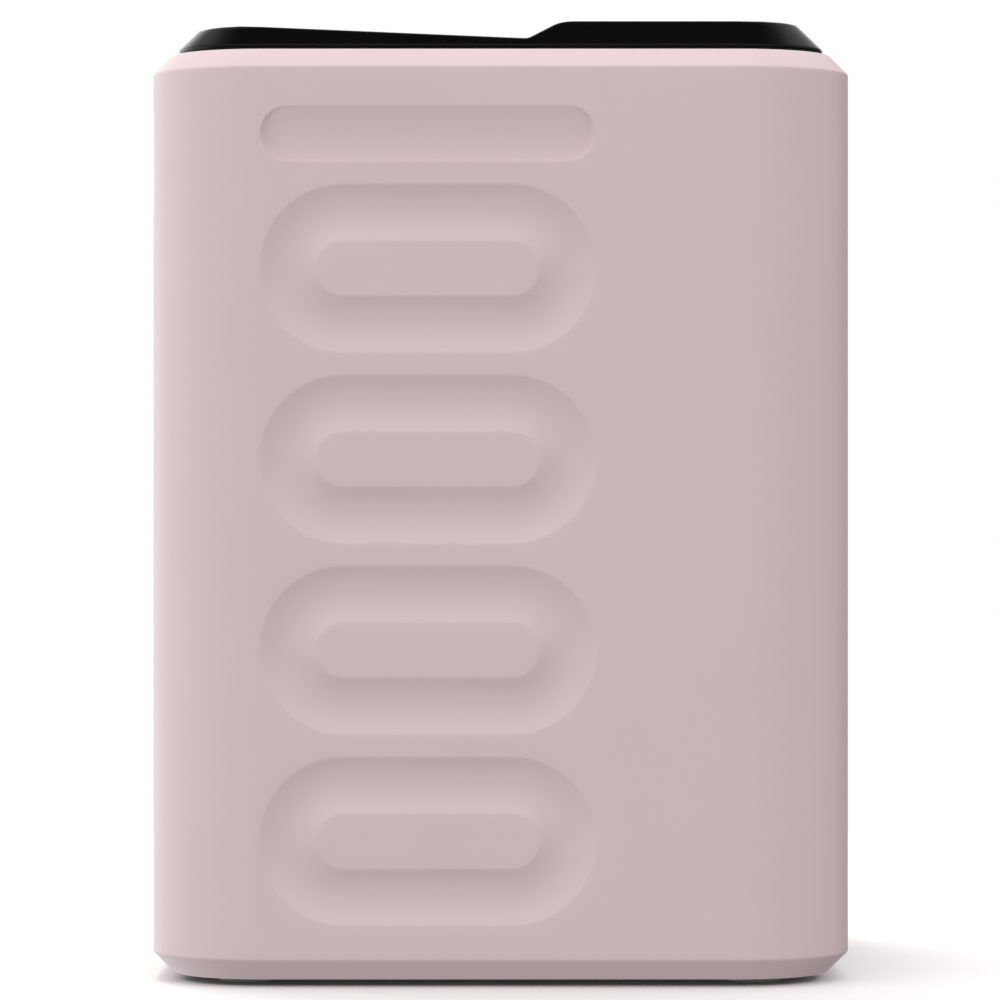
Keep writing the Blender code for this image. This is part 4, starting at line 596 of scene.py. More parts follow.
def housing():
    """A moulded sleeve: chamfered ends, embossed sides and openings for the fascia and the grille.

    The sleeve is a profile of (depth, height) carried round the outline, with its windows left out
    and filled by finer patches that share the windows' edges.
    """
    shell = settings().shell
    around, up = shell_lines(shell)
    quarter = quarter_length()
    lip, rim, ledge = 2.4 * MM, 1.6 * MM, 2.5 * MM
    base_reach, deck_reach = 18.5 * MM, 13.5 * MM
    ledge_low = BODY_LOW + 3.8 * MM
    ledge_high = DECK_LOW.z - 0.4 * MM
    foot = softened([
        (shell.wall, ledge_low + 4 * MM), (base_reach, ledge_low + ledge), (base_reach, ledge_low),
        (shell.bottom_chamfer + lip, ledge_low), (shell.bottom_chamfer + lip, BODY_LOW),
        (shell.bottom_chamfer, BODY_LOW), (0, BODY_LOW + shell.bottom_chamfer), (0, up[0])],
        shell.edge, closed=False)
    head = softened([
        (0, up[-1]), (0, BODY_TOP - shell.top_chamfer), (shell.top_chamfer, BODY_TOP),
        (shell.top_chamfer + rim, BODY_TOP), (shell.top_chamfer + rim, ledge_high),
        (deck_reach, ledge_high), (deck_reach, ledge_high - ledge), (shell.wall, ledge_high - ledge)],
        shell.edge, closed=False)
    face = np.stack([np.zeros(len(up)), up], axis=-1)
    back = np.stack([np.full(len(up), shell.wall), up[::-1]], axis=-1)
    profile = np.concatenate([foot[:-1], face, head[1:], back])
    face_row = len(foot) - 1
    back_row = face_row + len(up) + len(head) - 1
    points = np.stack(wrap(around[None, :], profile[:, 1:], profile[:, :1]), axis=-1)
    keep = np.ones((len(profile), len(around)), bool)

    def window(s_range, z_range, both):
        """Leaves out a window's faces and gives its outline."""
        columns, rows = cells(around, *s_range), cells(up, *z_range)
        keep[np.ix_(face_row + rows, columns)] = False
        if both:
            keep[np.ix_(back_row + len(up) - 2 - rows, columns)] = False
        return window_loop(between(around, *s_range), between(up, *z_range))

    sheets = []
    ring_span = (shell.recess_y - RING_WINDOW, shell.recess_y + RING_WINDOW)
    mirrored = (2 * quarter - ring_span[1], 2 * quarter - ring_span[0])
    for middle in ring_middles(shell):
        span = (middle - shell.ring_pitch / 2, middle + shell.ring_pitch / 2)
        sheets += ring_patch(window(ring_span, span, False), np.array((shell.recess_y, middle)), shell)
        window(mirrored, span, False)
    scoop_low = ring_middles(shell)[0] + shell.ring_pitch / 2
    span = (scoop_low, 2 * shell.scoop_z - scoop_low)
    sheets += scoop_patch(window(ring_span, span, False), np.array((shell.recess_y, shell.scoop_z)), shell)
    window(mirrored, span, False)

    low = up[up < CONTROLS_Z - fascia_half()[1] - 3 * MM][-1]
    front = -quarter + FASCIA_WINDOW
    window((-quarter, front), (low, up[-1]), True)
    window((3 * quarter - FASCIA_WINDOW, 3 * quarter), (low, up[-1]), True)
    across = np.concatenate([
        between(around, 3 * quarter - FASCIA_WINDOW, 3 * quarter) - 4 * quarter,
        between(around, -quarter, front)])
    loop = window_loop(across + quarter, between(up, low, up[-1]))
    sheets.append(through_patch(
        loop, np.array((0.0, CONTROLS_Z)), fascia_half(), FASCIA_CORNER,
        lambda u, v, d: wrap(u - quarter, v, d), 0.0, shell.wall, 0.35 * MM))

    straight = HALF_WIDTH - shell.corner_radius
    grille_z = (REAR_LOW + REAR_HIGH) / 2
    top = up[up > REAR_HIGH + 3 * MM][0]
    rear_loop = window((quarter - straight, quarter + straight), (up[0], top), True)
    sheets.append(through_patch(
        rear_loop, np.array((quarter, grille_z)), (REAR_HALF, (REAR_HIGH - REAR_LOW) / 2),
        REAR_CORNER, wrap, 0.0, shell.wall, 0.35 * MM))
    body = sheet(points, around=True, over=True, keep=keep)
    piece(
        "housing", [body, *sheets], gloss_abs(), "root", ("housing_shell",),
        crease=50)


def fascia_half():
    """Half the fascia opening's length round the front, and half its height."""
    shell = settings().shell
    straight = HALF_WIDTH - shell.corner_radius
    bend = FASCIA_WIDTH / 2 - straight
    return straight + shell.corner_radius * math.asin(bend / shell.corner_radius), shell.band


# ---------------------------------------------------------------- deck and lid
def mouth_deck():
    """The top deck: one sheet from the bowl's round mouth to the rounded outline, over and under.

    Each row mixes the outline's point and the mouth's point in the same direction:
    p = outline + share (mouth - outline), with both edges rounded by quarter circles.
    """
    edge = 0.5 * MM
    half = np.array([DECK_HIGH.x, DECK_HIGH.y])
    low, top = DECK_LOW.z, BODY_TOP
    core, way = corner_fan(half, DECK_CORNER, 12, 12)
    outline = core + way * DECK_CORNER
    aim = outline - np.array(BOWL_AXIS)
    aim /= np.linalg.norm(aim, axis=1, keepdims=True)
    angle = np.linspace(0, np.pi / 2, 4)
    near = [(edge * (1 - np.sin(a)), top - edge * (1 - np.cos(a))) for a in angle[::-1]]
    rows = [outline - way * inset for inset, _ in near]
    heights = [z for _, z in near]
    flat_start = rows[-1]
    mouth = np.array(BOWL_AXIS) + aim * (MOUTH_RADIUS + edge)
    for share in np.linspace(0, 1, 7)[1:]:
        rows.append(flat_start + (mouth - flat_start) * share)
        heights.append(top)
    for a in angle[1:]:
        rows.append(np.array(BOWL_AXIS) + aim * (MOUTH_RADIUS + edge * (1 - np.sin(a))))
        heights.append(top - edge * (1 - np.cos(a)))
    rows += [np.array(BOWL_AXIS) + aim * MOUTH_RADIUS, outline]
    heights += [low, low]
    grid = np.stack([np.column_stack([row, np.full(len(row), z)]) for row, z in zip(rows, heights)])
    sheets = [sheet(grid, around=True, over=True)]
    half_height = 3.5 * MM
    fan = corner_fan((EAR_RADIUS, half_height), EAR_RADIUS, 8, 4)
    for x in ear_places():
        stand = sideways(x, HINGE_Y, HINGE_HIGH.z - half_height)
        sheets.append(closed_block(fan, EAR_RADIUS, EAR_LENGTH / 2, 0.4 * MM, stand))
    piece("top_deck", sheets, gloss_abs(), "root", ("deck",))


def closed_block(fan, radius, half_length, edge, place):
    """A closed block of constant outline with rounded ends, centred along its third direction."""
    front = edge_rows(radius, half_length, edge)
    back = [(share, distance, -height) for share, distance, height in reversed(front)]
    inner = max(radius - edge - 0.5 * MM, 0.2 * MM)
    start = [(0, 0, half_length), (1, inner, half_length)]
    rows = start + front + back + [(1, inner, -half_length), (0, 0, -half_length)]
    return sheet(stacked(fan, rows, place), around=True)


def ear_places():
    """Where the deck's hinge ears stand, either side of each hinge pin's knuckle."""
    places = []
    for name in PINS:
        low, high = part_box(name)
        reach = EAR_LENGTH / 2 - 0.2 * MM
        places += [low.x + reach, high.x - reach]
    return places


def lid_line(y):
    """Height of the lid's top line: ridge, long fall to the valley, steep step and plateau.

    Straight runs between knots, softened by averaging over a short span: five samples, 0.5 mm apart.
    """
    lid = settings().lid
    step_end = lid.valley_y + (lid.plateau - lid.valley) / lid.step_slope
    knots = np.array([
        (-HALF_DEPTH, lid.ridge - 0.6 * MM), (lid.ridge_y - 10 * MM, lid.ridge - 0.05 * MM),
        (lid.ridge_y, lid.ridge), (lid.valley_y, lid.valley),
        (step_end - 1.8 * MM, lid.plateau - 1.0 * MM), (step_end + 1.2 * MM, lid.plateau - 0.2 * MM),
        (step_end + 4 * MM, lid.plateau), (HALF_DEPTH, lid.plateau)])
    shifts = np.linspace(-1, 1, 5) * MM
    return BODY_TOP + np.mean([np.interp(y + shift, knots[:, 0], knots[:, 1]) for shift in shifts], axis=0)


def lid_inset(x, y):
    """How far a point lies inside the lid's outline: negative distance of a rounded rectangle."""
    ex = np.abs(x) - (LID_HIGH.x - LID_CORNER)
    ey = np.abs(y) - (LID_HALF_DEPTH - LID_CORNER)
    outside = np.hypot(np.maximum(ex, 0), np.maximum(ey, 0))
    return LID_CORNER - outside - np.minimum(np.maximum(ex, ey), 0)


def lid_top(x, y):
    """Height of the lid's outside: the lower of a 45-degree taper and the top line, blended.

    min(a, b) is softened to (a + b - sqrt((a - b)^2 + k^2)) / 2.
    """
    lid = settings().lid
    taper = LID_LOW.z + lid.rim + lid_inset(x, y)
    line = lid_line(y)
    return (taper + line - np.sqrt((taper - line) ** 2 + lid.softness ** 2)) / 2


def thumb_dip(x, y):
    """Depth of the ball-shaped dip for a fingertip at the front of the mix-in opening."""
    lid = settings().lid
    away = (x ** 2 + (y - CAP_Y + lid.cap_width / 2) ** 2) / (2 * NOTCH_RADIUS)
    depth = 1 * MM - away
    return (depth + np.sqrt(depth ** 2 + (0.12 * MM) ** 2)) / 2 - 0.02 * MM


def rounded_map(u, v, half, radius):
    """Bends a square grid's corners into arcs.

    Past the core, (ex, ey) becomes its own direction times max(ex, ey), so lines that were at one
    distance from the edge stay at that distance all the way round.
    """
    core = np.asarray(half) - radius
    ex, ey = np.maximum(np.abs(u) - core[0], 0), np.maximum(np.abs(v) - core[1], 0)
    length = np.maximum(np.hypot(ex, ey), 1e-12)
    scale = np.maximum(ex, ey) / length
    x = np.sign(u) * (np.minimum(np.abs(u), core[0]) + ex * scale)
    y = np.sign(v) * (np.minimum(np.abs(v), core[1]) + ey * scale)
    return x, y


def lid_cover():
    """The lid's moulding: a square grid bent to the outline, its underside, rim and mix-in opening."""
    lid = settings().lid
    half = np.array([LID_HIGH.x, LID_HALF_DEPTH])
    core = half - LID_CORNER
    insets = MM * np.array([
        0, 0.5, 1.2, 2.0, 2.8, 3.6, 4.4, 5.2, 6.0, 6.8, 7.6, 8.3, 8.9, 9.5, 10.3, 12, 16, 23])
    window = (38 * MM, 21 * MM)
    inner_x = spread((-core[0], -window[0], -8 * MM, 8 * MM, window[0], core[0]), (12, 8, 16, 8, 12))
    inner_y = spread(
        (-core[1], CAP_Y - window[1], CAP_Y + window[1], 5 * MM, 31 * MM, core[1]), (14, 16, 1, 34, 16))
    sheets = []
    edges = []
    for inner, down in ((0.0, False), (lid.wall, True)):
        shrunk = insets * (LID_CORNER - inner) / LID_CORNER + inner
        lines = []
        for middle, reach in ((inner_x, half[0]), (inner_y, half[1])):
            outer = reach - shrunk
            lines.append(np.concatenate([-outer, middle, outer[::-1]]))
        u, v = np.meshgrid(*lines)
        x, y = rounded_map(u, v, half - inner, LID_CORNER - inner)
        z = lid_under(x, y) if down else lid_top(x, y) - thumb_dip(x, y)
        rows = cells(lines[1], CAP_Y - window[1], CAP_Y + window[1])
        columns = cells(lines[0], -window[0], window[0])
        keep = np.ones((len(lines[1]) - 1, len(lines[0]) - 1), bool)
        keep[np.ix_(rows, columns)] = False
        sheets.append(sheet(np.stack([x, y, z], axis=-1), keep=keep))
        loop = window_loop(*lines)
        ring = np.stack(rounded_map(loop[:, 0], loop[:, 1], half - inner, LID_CORNER - inner), axis=-1)
        height = lid_under(*ring.T) if down else lid_top(*ring.T) - thumb_dip(*ring.T)
        edges.append((ring, height))
    (outer, high), (inner, under) = edges
    turn = np.linspace(0, np.pi / 2, 4)
    low, soft = LID_LOW.z, 0.35 * MM
    share = np.concatenate([
        soft / lid.wall * (1 - np.cos(turn)), 1 - soft / lid.wall * np.sin(turn[::-1])])
    height = np.concatenate([soft * (1 - np.sin(turn)), soft * (1 - np.cos(turn[::-1]))])
    rim = [np.column_stack([outer, high])]
    for part, rise in zip(share, height):
        rim.append(np.column_stack([outer + (inner - outer) * part, np.full(len(outer), low + rise)]))
    rim.append(np.column_stack([inner, under]))
    sheets.append(sheet(np.stack(rim), around=True))

    loop = window_loop(
        between(inner_x, -window[0], window[0]),
        between(inner_y, CAP_Y - window[1], CAP_Y + window[1]))

    def opening(u, v, depth):
        """Depth 0 is the lid's outside, dip and all, and the wall's thickness is its inside."""
        share = depth / lid.wall
        top = lid_top(u, v)
        face = top - np.maximum(depth, thumb_dip(u, v))
        return u, v, np.where(share > 0.999, lid_under(u, v), face)

    radius = lid.cap_width / 2
    ledge, step = radius - lid.cap_ledge, 1.4 * MM
    sheets.append(through_patch(
        loop, np.array((0, CAP_Y)), (lid.cap_length / 2, radius), radius, opening, 0.0, lid.wall,
        0.3 * MM, ((ledge, lid.wall), (ledge, step), (radius, step)), 7))
    notched(piece(
        "lid_cover", sheets, gloss_black(), "lid", ("lid",), crease=60))


def lid_under(x, y):
    """Height of the lid's inside: the outside's two surfaces, each moved in by the wall."""
    lid = settings().lid
    taper = LID_LOW.z + lid.rim + lid_inset(x, y) - SLOPE_WALL * lid.wall
    line = lid_line(y) - lid.wall
    return (taper + line - np.sqrt((taper - line) ** 2 + lid.softness ** 2)) / 2


def notched(cover):
    """Cuts the lid's rear edge away round each hinge ear, and applies the cut."""
    half_width, half_length = EAR_LENGTH / 2 + 0.5 * MM, 6 * MM
    corner, tall = 0.6 * MM, 7.2 * MM
    fan = corner_fan((half_width, half_length), corner, 4, 2)
    rows = [(0, 0, 0), (1, corner, 0), (1, corner, tall), (0, 0, tall)]
    blocks = []
    for x in ear_places():
        stand = upright(x, HINGE_Y + half_length - 3 * MM, LID_LOW.z - 1 * MM)
        blocks.append(sheet(stacked(fan, rows, stand), around=True))
    tool = welded("ear_notches", blocks)
    cut = cover.modifiers.new("ears", "BOOLEAN")
    cut.operation = "DIFFERENCE"
    cut.solver = "EXACT"
    cut.object = tool
    bpy.context.view_layer.update()
    result = bpy.data.meshes.new_from_object(cover.evaluated_get(bpy.context.evaluated_depsgraph_get()))
    cover.modifiers.clear()
    uncut, cutter = cover.data, tool.data
    cover.data = result
    bpy.data.objects.remove(tool)
    bpy.data.meshes.remove(uncut)
    bpy.data.meshes.remove(cutter)
    result.name = cover.name


def lid_fittings():
    """The lid's sealing skirt, whose upper edge is lifted to the lid's inside, and two knuckles."""
    bottom = GASKET_HIGH.z + 0.4 * MM
    top = bottom + 3.0 * MM
    inner, outer = MOUTH_RADIUS + 2.0 * MM, MOUTH_RADIUS + 6.0 * MM
    ring = softened([(inner, bottom), (outer, bottom), (outer, top), (inner, top)], 0.4 * MM)
    points, faces = spun(ring, (*BOWL_AXIS, 0), segments=120)
    lifted = points[:, 2] > bottom + 1.5 * MM
    reach = lid_under(points[:, 0], points[:, 1]) + 0.6 * MM
    points[:, 2] = np.where(lifted, reach, points[:, 2])
    sheets = [(points, faces)]
    half = KNUCKLE_LENGTH / 2
    for name in PINS:
        low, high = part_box(name)
        bore = (high.z - low.z) / 2 + 0.1 * MM
        profile = softened([
            (bore, -half), (KNUCKLE_RADIUS, -half), (KNUCKLE_RADIUS, half), (bore, half)], 0.3 * MM)
        sheets.append(spun(profile, middle_of(low, high), "X", 40))
    piece("lid_skirt_and_knuckles", sheets, gloss_black(), "lid", crease=50)


def cap():
    """The flush mix-in cap: its top follows the lid and a hollow plug drops through the opening."""
    lid = settings().lid
    gap = 0.45 * MM
    radius = lid.cap_width / 2 - gap
    plug = lid.cap_width / 2 - lid.cap_ledge - 0.5 * MM
    fan = corner_fan((lid.cap_length / 2 - gap, radius), radius, 14, 14)

    def place(u, v, depth):
        """Depth is measured down from the lid's top, and stops at the plug's foot."""
        x, y = u, v + CAP_Y
        return x, y, np.maximum(lid_top(x, y) - depth, CAP_LOW.z)

    deep, flange, floor, dish = 20 * MM, 1.0 * MM, 1.9 * MM, 0.02 * MM
    bore = plug - 1.5 * MM
    rim = [(share, distance, -height) for share, distance, height in edge_rows(radius, 0, 0.4 * MM)]
    dished = [(0, 0, dish), (0.25, 3 * MM, dish), (0.5, 5.5 * MM, dish), (0.75, 8 * MM, 0), (1, 11 * MM, 0)]
    rows = [
        *dished, *rim, (1, radius, flange), (1, plug, flange), (1, plug, deep),
        (1, bore, deep), (1, bore, floor), (0.5, 4 * MM, floor), (0, 0, floor)]
    piece(
        "mix_in_cap_moulding", [sheet(stacked(fan, rows, place), around=True)],
        gloss_black(), "cap", ("mix_in_cap",), crease=50)


# ---------------------------------------------------------------- front controls
def front_place(u, v, depth):
    """A point on the front: u round the housing from its middle, v up from the controls' line."""
    return wrap(u - quarter_length(), CONTROLS_Z + v, depth)


def key_places():
    """The round keys' names, each with its place across the front."""
    return [(name, middle_of(*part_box("button_" + name))[0]) for name in ("power", "mode", "timer", "start")]


def control_fascia():
    """The curved control strip with a window for the display and four round holes for the keys."""
    half_u, half_v = fascia_half()
    half_u, half_v = half_u - SET_IN, half_v - SET_IN
    places = sorted(abs(x) for _, x in key_places())
    first, second = places[0], places[2]
    lens_edge = first - 10 * MM
    split = (first + second) / 2
    last = second + 9.5 * MM
    right = spread((0, lens_edge, split, last, half_u), (14, 8, 8, 8))
    across = np.concatenate([-right[::-1][:-1], right])
    window = 13.2 * MM
    up = spread((-half_v, -window, window, half_v), (5, 10, 5))
    level = (-window, window)
    lens_half = (
        (LENS_HIGH.x - LENS_LOW.x) / 2 + 0.45 * MM, (LENS_HIGH.z - LENS_LOW.z) / 2 + SET_IN)
    holes = [((-lens_edge, lens_edge), level, (0, 0), lens_half, lens_half[1], ())]
    hole = KEY_RADIUS + SET_IN
    for side in (1, -1):
        for low, high, middle in ((lens_edge, split, first), (split, last, second)):
            span = (low, high) if side > 0 else (-high, -low)
            holes.append((span, level, (side * middle, 0), (hole, hole), hole, ()))
    recess, back, edge = 0.25 * MM, 4.4 * MM, 0.5 * MM
    sheets = moulded_plate(
        across, up, FASCIA_CORNER - SET_IN, holes, front_place, recess, back, edge)
    piece("control_fascia", sheets, gloss_abs(), "root", ("fascia",), crease=50)


def display_window():
    """The smoked display window: a capsule with softened edges and a very slight crown."""
    half = ((LENS_HIGH.x - LENS_LOW.x) / 2, (LENS_HIGH.z - LENS_LOW.z) / 2)
    fan = corner_fan(half, half[1], 12, 16)
    crown, rim, back = 0.15 * MM, 0.5 * MM, 5.0 * MM
    rows = [(0, 0, 0.45 * MM - crown), (0.6, 3 * MM, rim - crown), (1, 6 * MM, rim - crown)]
    rows += [(share, r, rim - z) for share, r, z in edge_rows(half[1], 0, 0.4 * MM)]
    rows += [(1, half[1], back), (0, 0, back)]
    piece(
        "display_window", [sheet(stacked(fan, rows, front_place), around=True)], smoked_acrylic(),
        "root", ("display_lens",), crease=50)


def keys():
    """Four dished round keys, each with its printed mark."""
    for name, x in key_places():
        low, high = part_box("button_" + name)
        length = high.y - low.y
        flange, stem = KEY_RADIUS + 1.3 * MM, 2 * MM
        profile = softened([
            (1.2 * MM, 0.30 * MM), (KEY_RADIUS - 2.2 * MM, 0.12 * MM), (KEY_RADIUS - 0.9 * MM, 0.0),
            (KEY_RADIUS, 0.7 * MM), (KEY_RADIUS, length - 1.8 * MM), (flange, length - 1.8 * MM),
            (flange, length - 0.8 * MM), (stem, length - 0.8 * MM), (stem, length)],
            0.35 * MM, closed=False)
        profile = np.concatenate([[(0, 0.33 * MM)], profile, [(0, length)]])
        centre = (x, low.y, (low.z + high.z) / 2)
        piece(
            name + "_key", [spun(profile, centre, "Y", 72, closed=False)], gloss_abs(),
            name + "_key", ("button_" + name,), crease=50)
        key_mark(name, centre)


def stroke(path, width, lift, place, closed=False):
    """A thin raised line of ink along a path: a flat strip with low square sides, closed at its ends."""
    path = np.asarray(path, float)
    if closed:
        along = np.roll(path, -1, axis=0) - np.roll(path, 1, axis=0)
    else:
        along = np.gradient(path, axis=0)
    side = np.stack([-along[:, 1], along[:, 0]], axis=-1)
    side *= width / 2 / np.linalg.norm(side, axis=1, keepdims=True)
    left, right = path + side, path - side
    rows = [(left, -lift), (left, lift), (right, lift), (right, -lift)]
    grid = np.stack([
        np.stack(place(*line.T, np.full(len(line), rise)), axis=-1) for line, rise in rows])
    sheets = [sheet(grid, around=closed, over=True)]
    if not closed:
        for end in (0, -1):
            sheets.append((grid[:, end], np.array([[0, 1, 2, 3]])))
    return sheets


def ring_path(radius, start, end, count, middle=(0, 0)):
    """Points on an arc, in degrees anticlockwise from the right."""
    angle = np.radians(np.linspace(start, end, count))
    return np.stack([middle[0] + radius * np.cos(angle), middle[1] + radius * np.sin(angle)], axis=-1)


def key_mark(name, centre):
    """A key's printed mark: a broken ring and bar, three bars, a clock or a triangle."""
    def place(u, v, rise):
        """Follows the key's dished face."""
        dish = 0.30 * MM - 0.18 * MM * np.clip(np.hypot(u, v) / (KEY_RADIUS - 2.2 * MM), 0, 1) ** 2
        return centre[0] + u, centre[1] + dish - rise, centre[2] + v

    if name == "power":
        bar = MM * np.array([(0, 0.6), (0, 1.5), (0, 2.6)])
        strokes = [(ring_path(2.1 * MM, 125, 415, 40), False), (bar, False)]
    elif name == "mode":
        strokes = [(MM * np.array([(-2.0, y), (0, y), (2.0, y)]), False) for y in (-1.3, 0, 1.3)]
    elif name == "timer":
        hands = MM * np.array([[(0, 1.5), (0, 0.7), (0, 0)], [(0, 0), (0.6, 0), (1.2, 0)]])
        strokes = [(ring_path(2.3 * MM, 0, 351, 40), True), (hands[0], False), (hands[1], False)]
    else:
        corners = MM * np.array([(2.2, 0), (-1.3, 1.9), (-1.3, -1.9)])
        runs = zip(corners, np.roll(corners, -1, axis=0))
        strokes = [(np.concatenate([np.linspace(a, b, 6)[:-1] for a, b in runs]), True)]
    sheets = []
    for path, closed in strokes:
        sheets += stroke(path, 0.45 * MM, INK, place, closed)
    ink = printed_ink("printed_grey_ink", "#6E6265")
    piece(name + "_key_mark", sheets, ink, name + "_key")


# ---------------------------------------------------------------- rear
def rear_place(u, v, depth):
    """A point on the flat rear: u along X, v its height, depth inwards."""
    return u, HALF_DEPTH - depth, v + 0 * u


def rear_grille():
    """The rear panel: low vents over the fan, high ones, the mains openings and screw seats."""
    half = REAR_HALF - SET_IN
    low, high = REAR_LOW + SET_IN, REAR_HIGH - SET_IN
    inlet_x, _, entry = middle_of(INLET_LOW, INLET_HIGH)
    rocker_x = middle_of(BEZEL_LOW, BEZEL_HIGH)[0]
    screw_x, _, screw_z = middle_of(SCREW_LOW, SCREW_HIGH)
    corner = 19.2 * MM
    slot_edge = SLOT_LENGTH / 2 + 3 * MM
    inlet_edge, rocker_edge = inlet_x + 17.4 * MM, rocker_x - 12 * MM
    across = spread(
        (-half, corner - half, -slot_edge, inlet_edge, rocker_edge, slot_edge, half - corner, half),
        (9, 1, 9, 12, 8, 1, 9))
    fan_low, fan_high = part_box("fan_frame")
    first = (fan_low.z + fan_high.z) / 2 - LOW_SLOTS / 2 * SLOT_PITCH
    upper = high - 95.6 * MM
    above_first = first + LOW_SLOTS * SLOT_PITCH
    level = (entry - 16 * MM, entry + 16 * MM)
    up = np.concatenate([
        spread((low, first, low + corner), (4, 5))[:-1],
        spread((low + corner, first + 2 * SLOT_PITCH, above_first), (2, 25))[:-1],
        spread((above_first, *level, upper), (7, 10, 8))[:-1],
        spread((upper, upper + HIGH_SLOTS * SLOT_PITCH, high - corner, high), (20, 7, 9))])
    up = np.unique(np.round(np.concatenate([
        up, first + SLOT_PITCH * np.arange(LOW_SLOTS + 1),
        upper + SLOT_PITCH * np.arange(HIGH_SLOTS + 1)]), 7))
    up = up[np.r_[True, np.diff(up) > 0.25 * MM]]
    holes = []
    for start, count in ((first, LOW_SLOTS), (upper, HIGH_SLOTS)):
        for number in range(count):
            z = start + SLOT_PITCH * number
            holes.append((
                (-slot_edge, slot_edge), (z, z + SLOT_PITCH), (0, z + SLOT_PITCH / 2),
                (SLOT_LENGTH / 2, SLOT_HEIGHT / 2), SLOT_HEIGHT / 2, ()))
    inlet = (
        (INLET_HIGH.x - INLET_LOW.x) / 2 + SET_IN, (INLET_HIGH.z - INLET_LOW.z) / 2 + SET_IN)
    bezel = (
        (BEZEL_HIGH.x - BEZEL_LOW.x) / 2 + SET_IN, (BEZEL_HIGH.z - BEZEL_LOW.z) / 2 + SET_IN)
    holes.append(((-slot_edge, inlet_edge), level, (inlet_x, entry), inlet, 3.6 * MM, ()))
    holes.append(((rocker_edge, slot_edge), level, (rocker_x, entry), bezel, 2 * MM, ()))
    back, seat, bore, well = 4.4 * MM, 3.1 * MM, 1.9 * MM, 3.6 * MM
    stepped = ((bore, back), (bore, seat), (well, seat))
    for side in (-1, 1):
        columns = (-half, corner - half) if side < 0 else (half - corner, half)
        for rows, z in (((low, low + corner), screw_z), ((high - corner, high), low + high - screw_z)):
            holes.append((columns, rows, (side * abs(screw_x), z), (well, well), well, stepped))
    sheets = moulded_plate(
        across, up, REAR_CORNER - SET_IN, holes, rear_place, 0.5 * MM, back, 0.45 * MM)
    piece("rear_grille", sheets, gloss_abs(), "root", ("rear_panel",), crease=50)


def mains_inlet():
    """The mains inlet: a rounded shroud with a deep socket and three flat pins."""
    x, _, z = middle_of(INLET_LOW, INLET_HIGH)
    face, back = INLET_HIGH.y, INLET_LOW.y - INLET_HIGH.y
    half = np.array([INLET_HIGH.x - INLET_LOW.x, INLET_HIGH.z - INLET_LOW.z]) / 2
    radius, wall, deep, edge = 3.2 * MM, 2.2 * MM, 16.3 * MM, 0.4 * MM
    inner = radius - wall
    rows = [(0, 0, back), (1, radius, back)]
    rows += [(1, r, h) for _, r, h in reversed(edge_rows(radius, 0, edge))]
    rows += [
        (1, inner + edge, 0), (1, inner + 0.1 * MM, -0.1 * MM), (1, inner, -edge),
        (1, inner, -deep), (0, 0, -deep)]
    shroud = sheet(stacked(corner_fan(half, radius, 8, 4), rows, facing(x, face, z)), around=True)
    corner = 0.5 * MM
    blade = corner_fan((1 * MM, 2 * MM), corner, 3, 1)
    pins = []
    for dx, dz in ((-7 * MM, -2 * MM), (7 * MM, -2 * MM), (0, 2 * MM)):
        stand = facing(x + dx, face - 11.3 * MM, z + dz)
        pins.append(closed_block(blade, corner, 5.0 * MM, 0.3 * MM, stand))
    piece("mains_inlet", [shroud], polyamide(), "root", ("power_inlet",), crease=50)
    piece("mains_inlet_pins", pins, brass(), "root", crease=50)


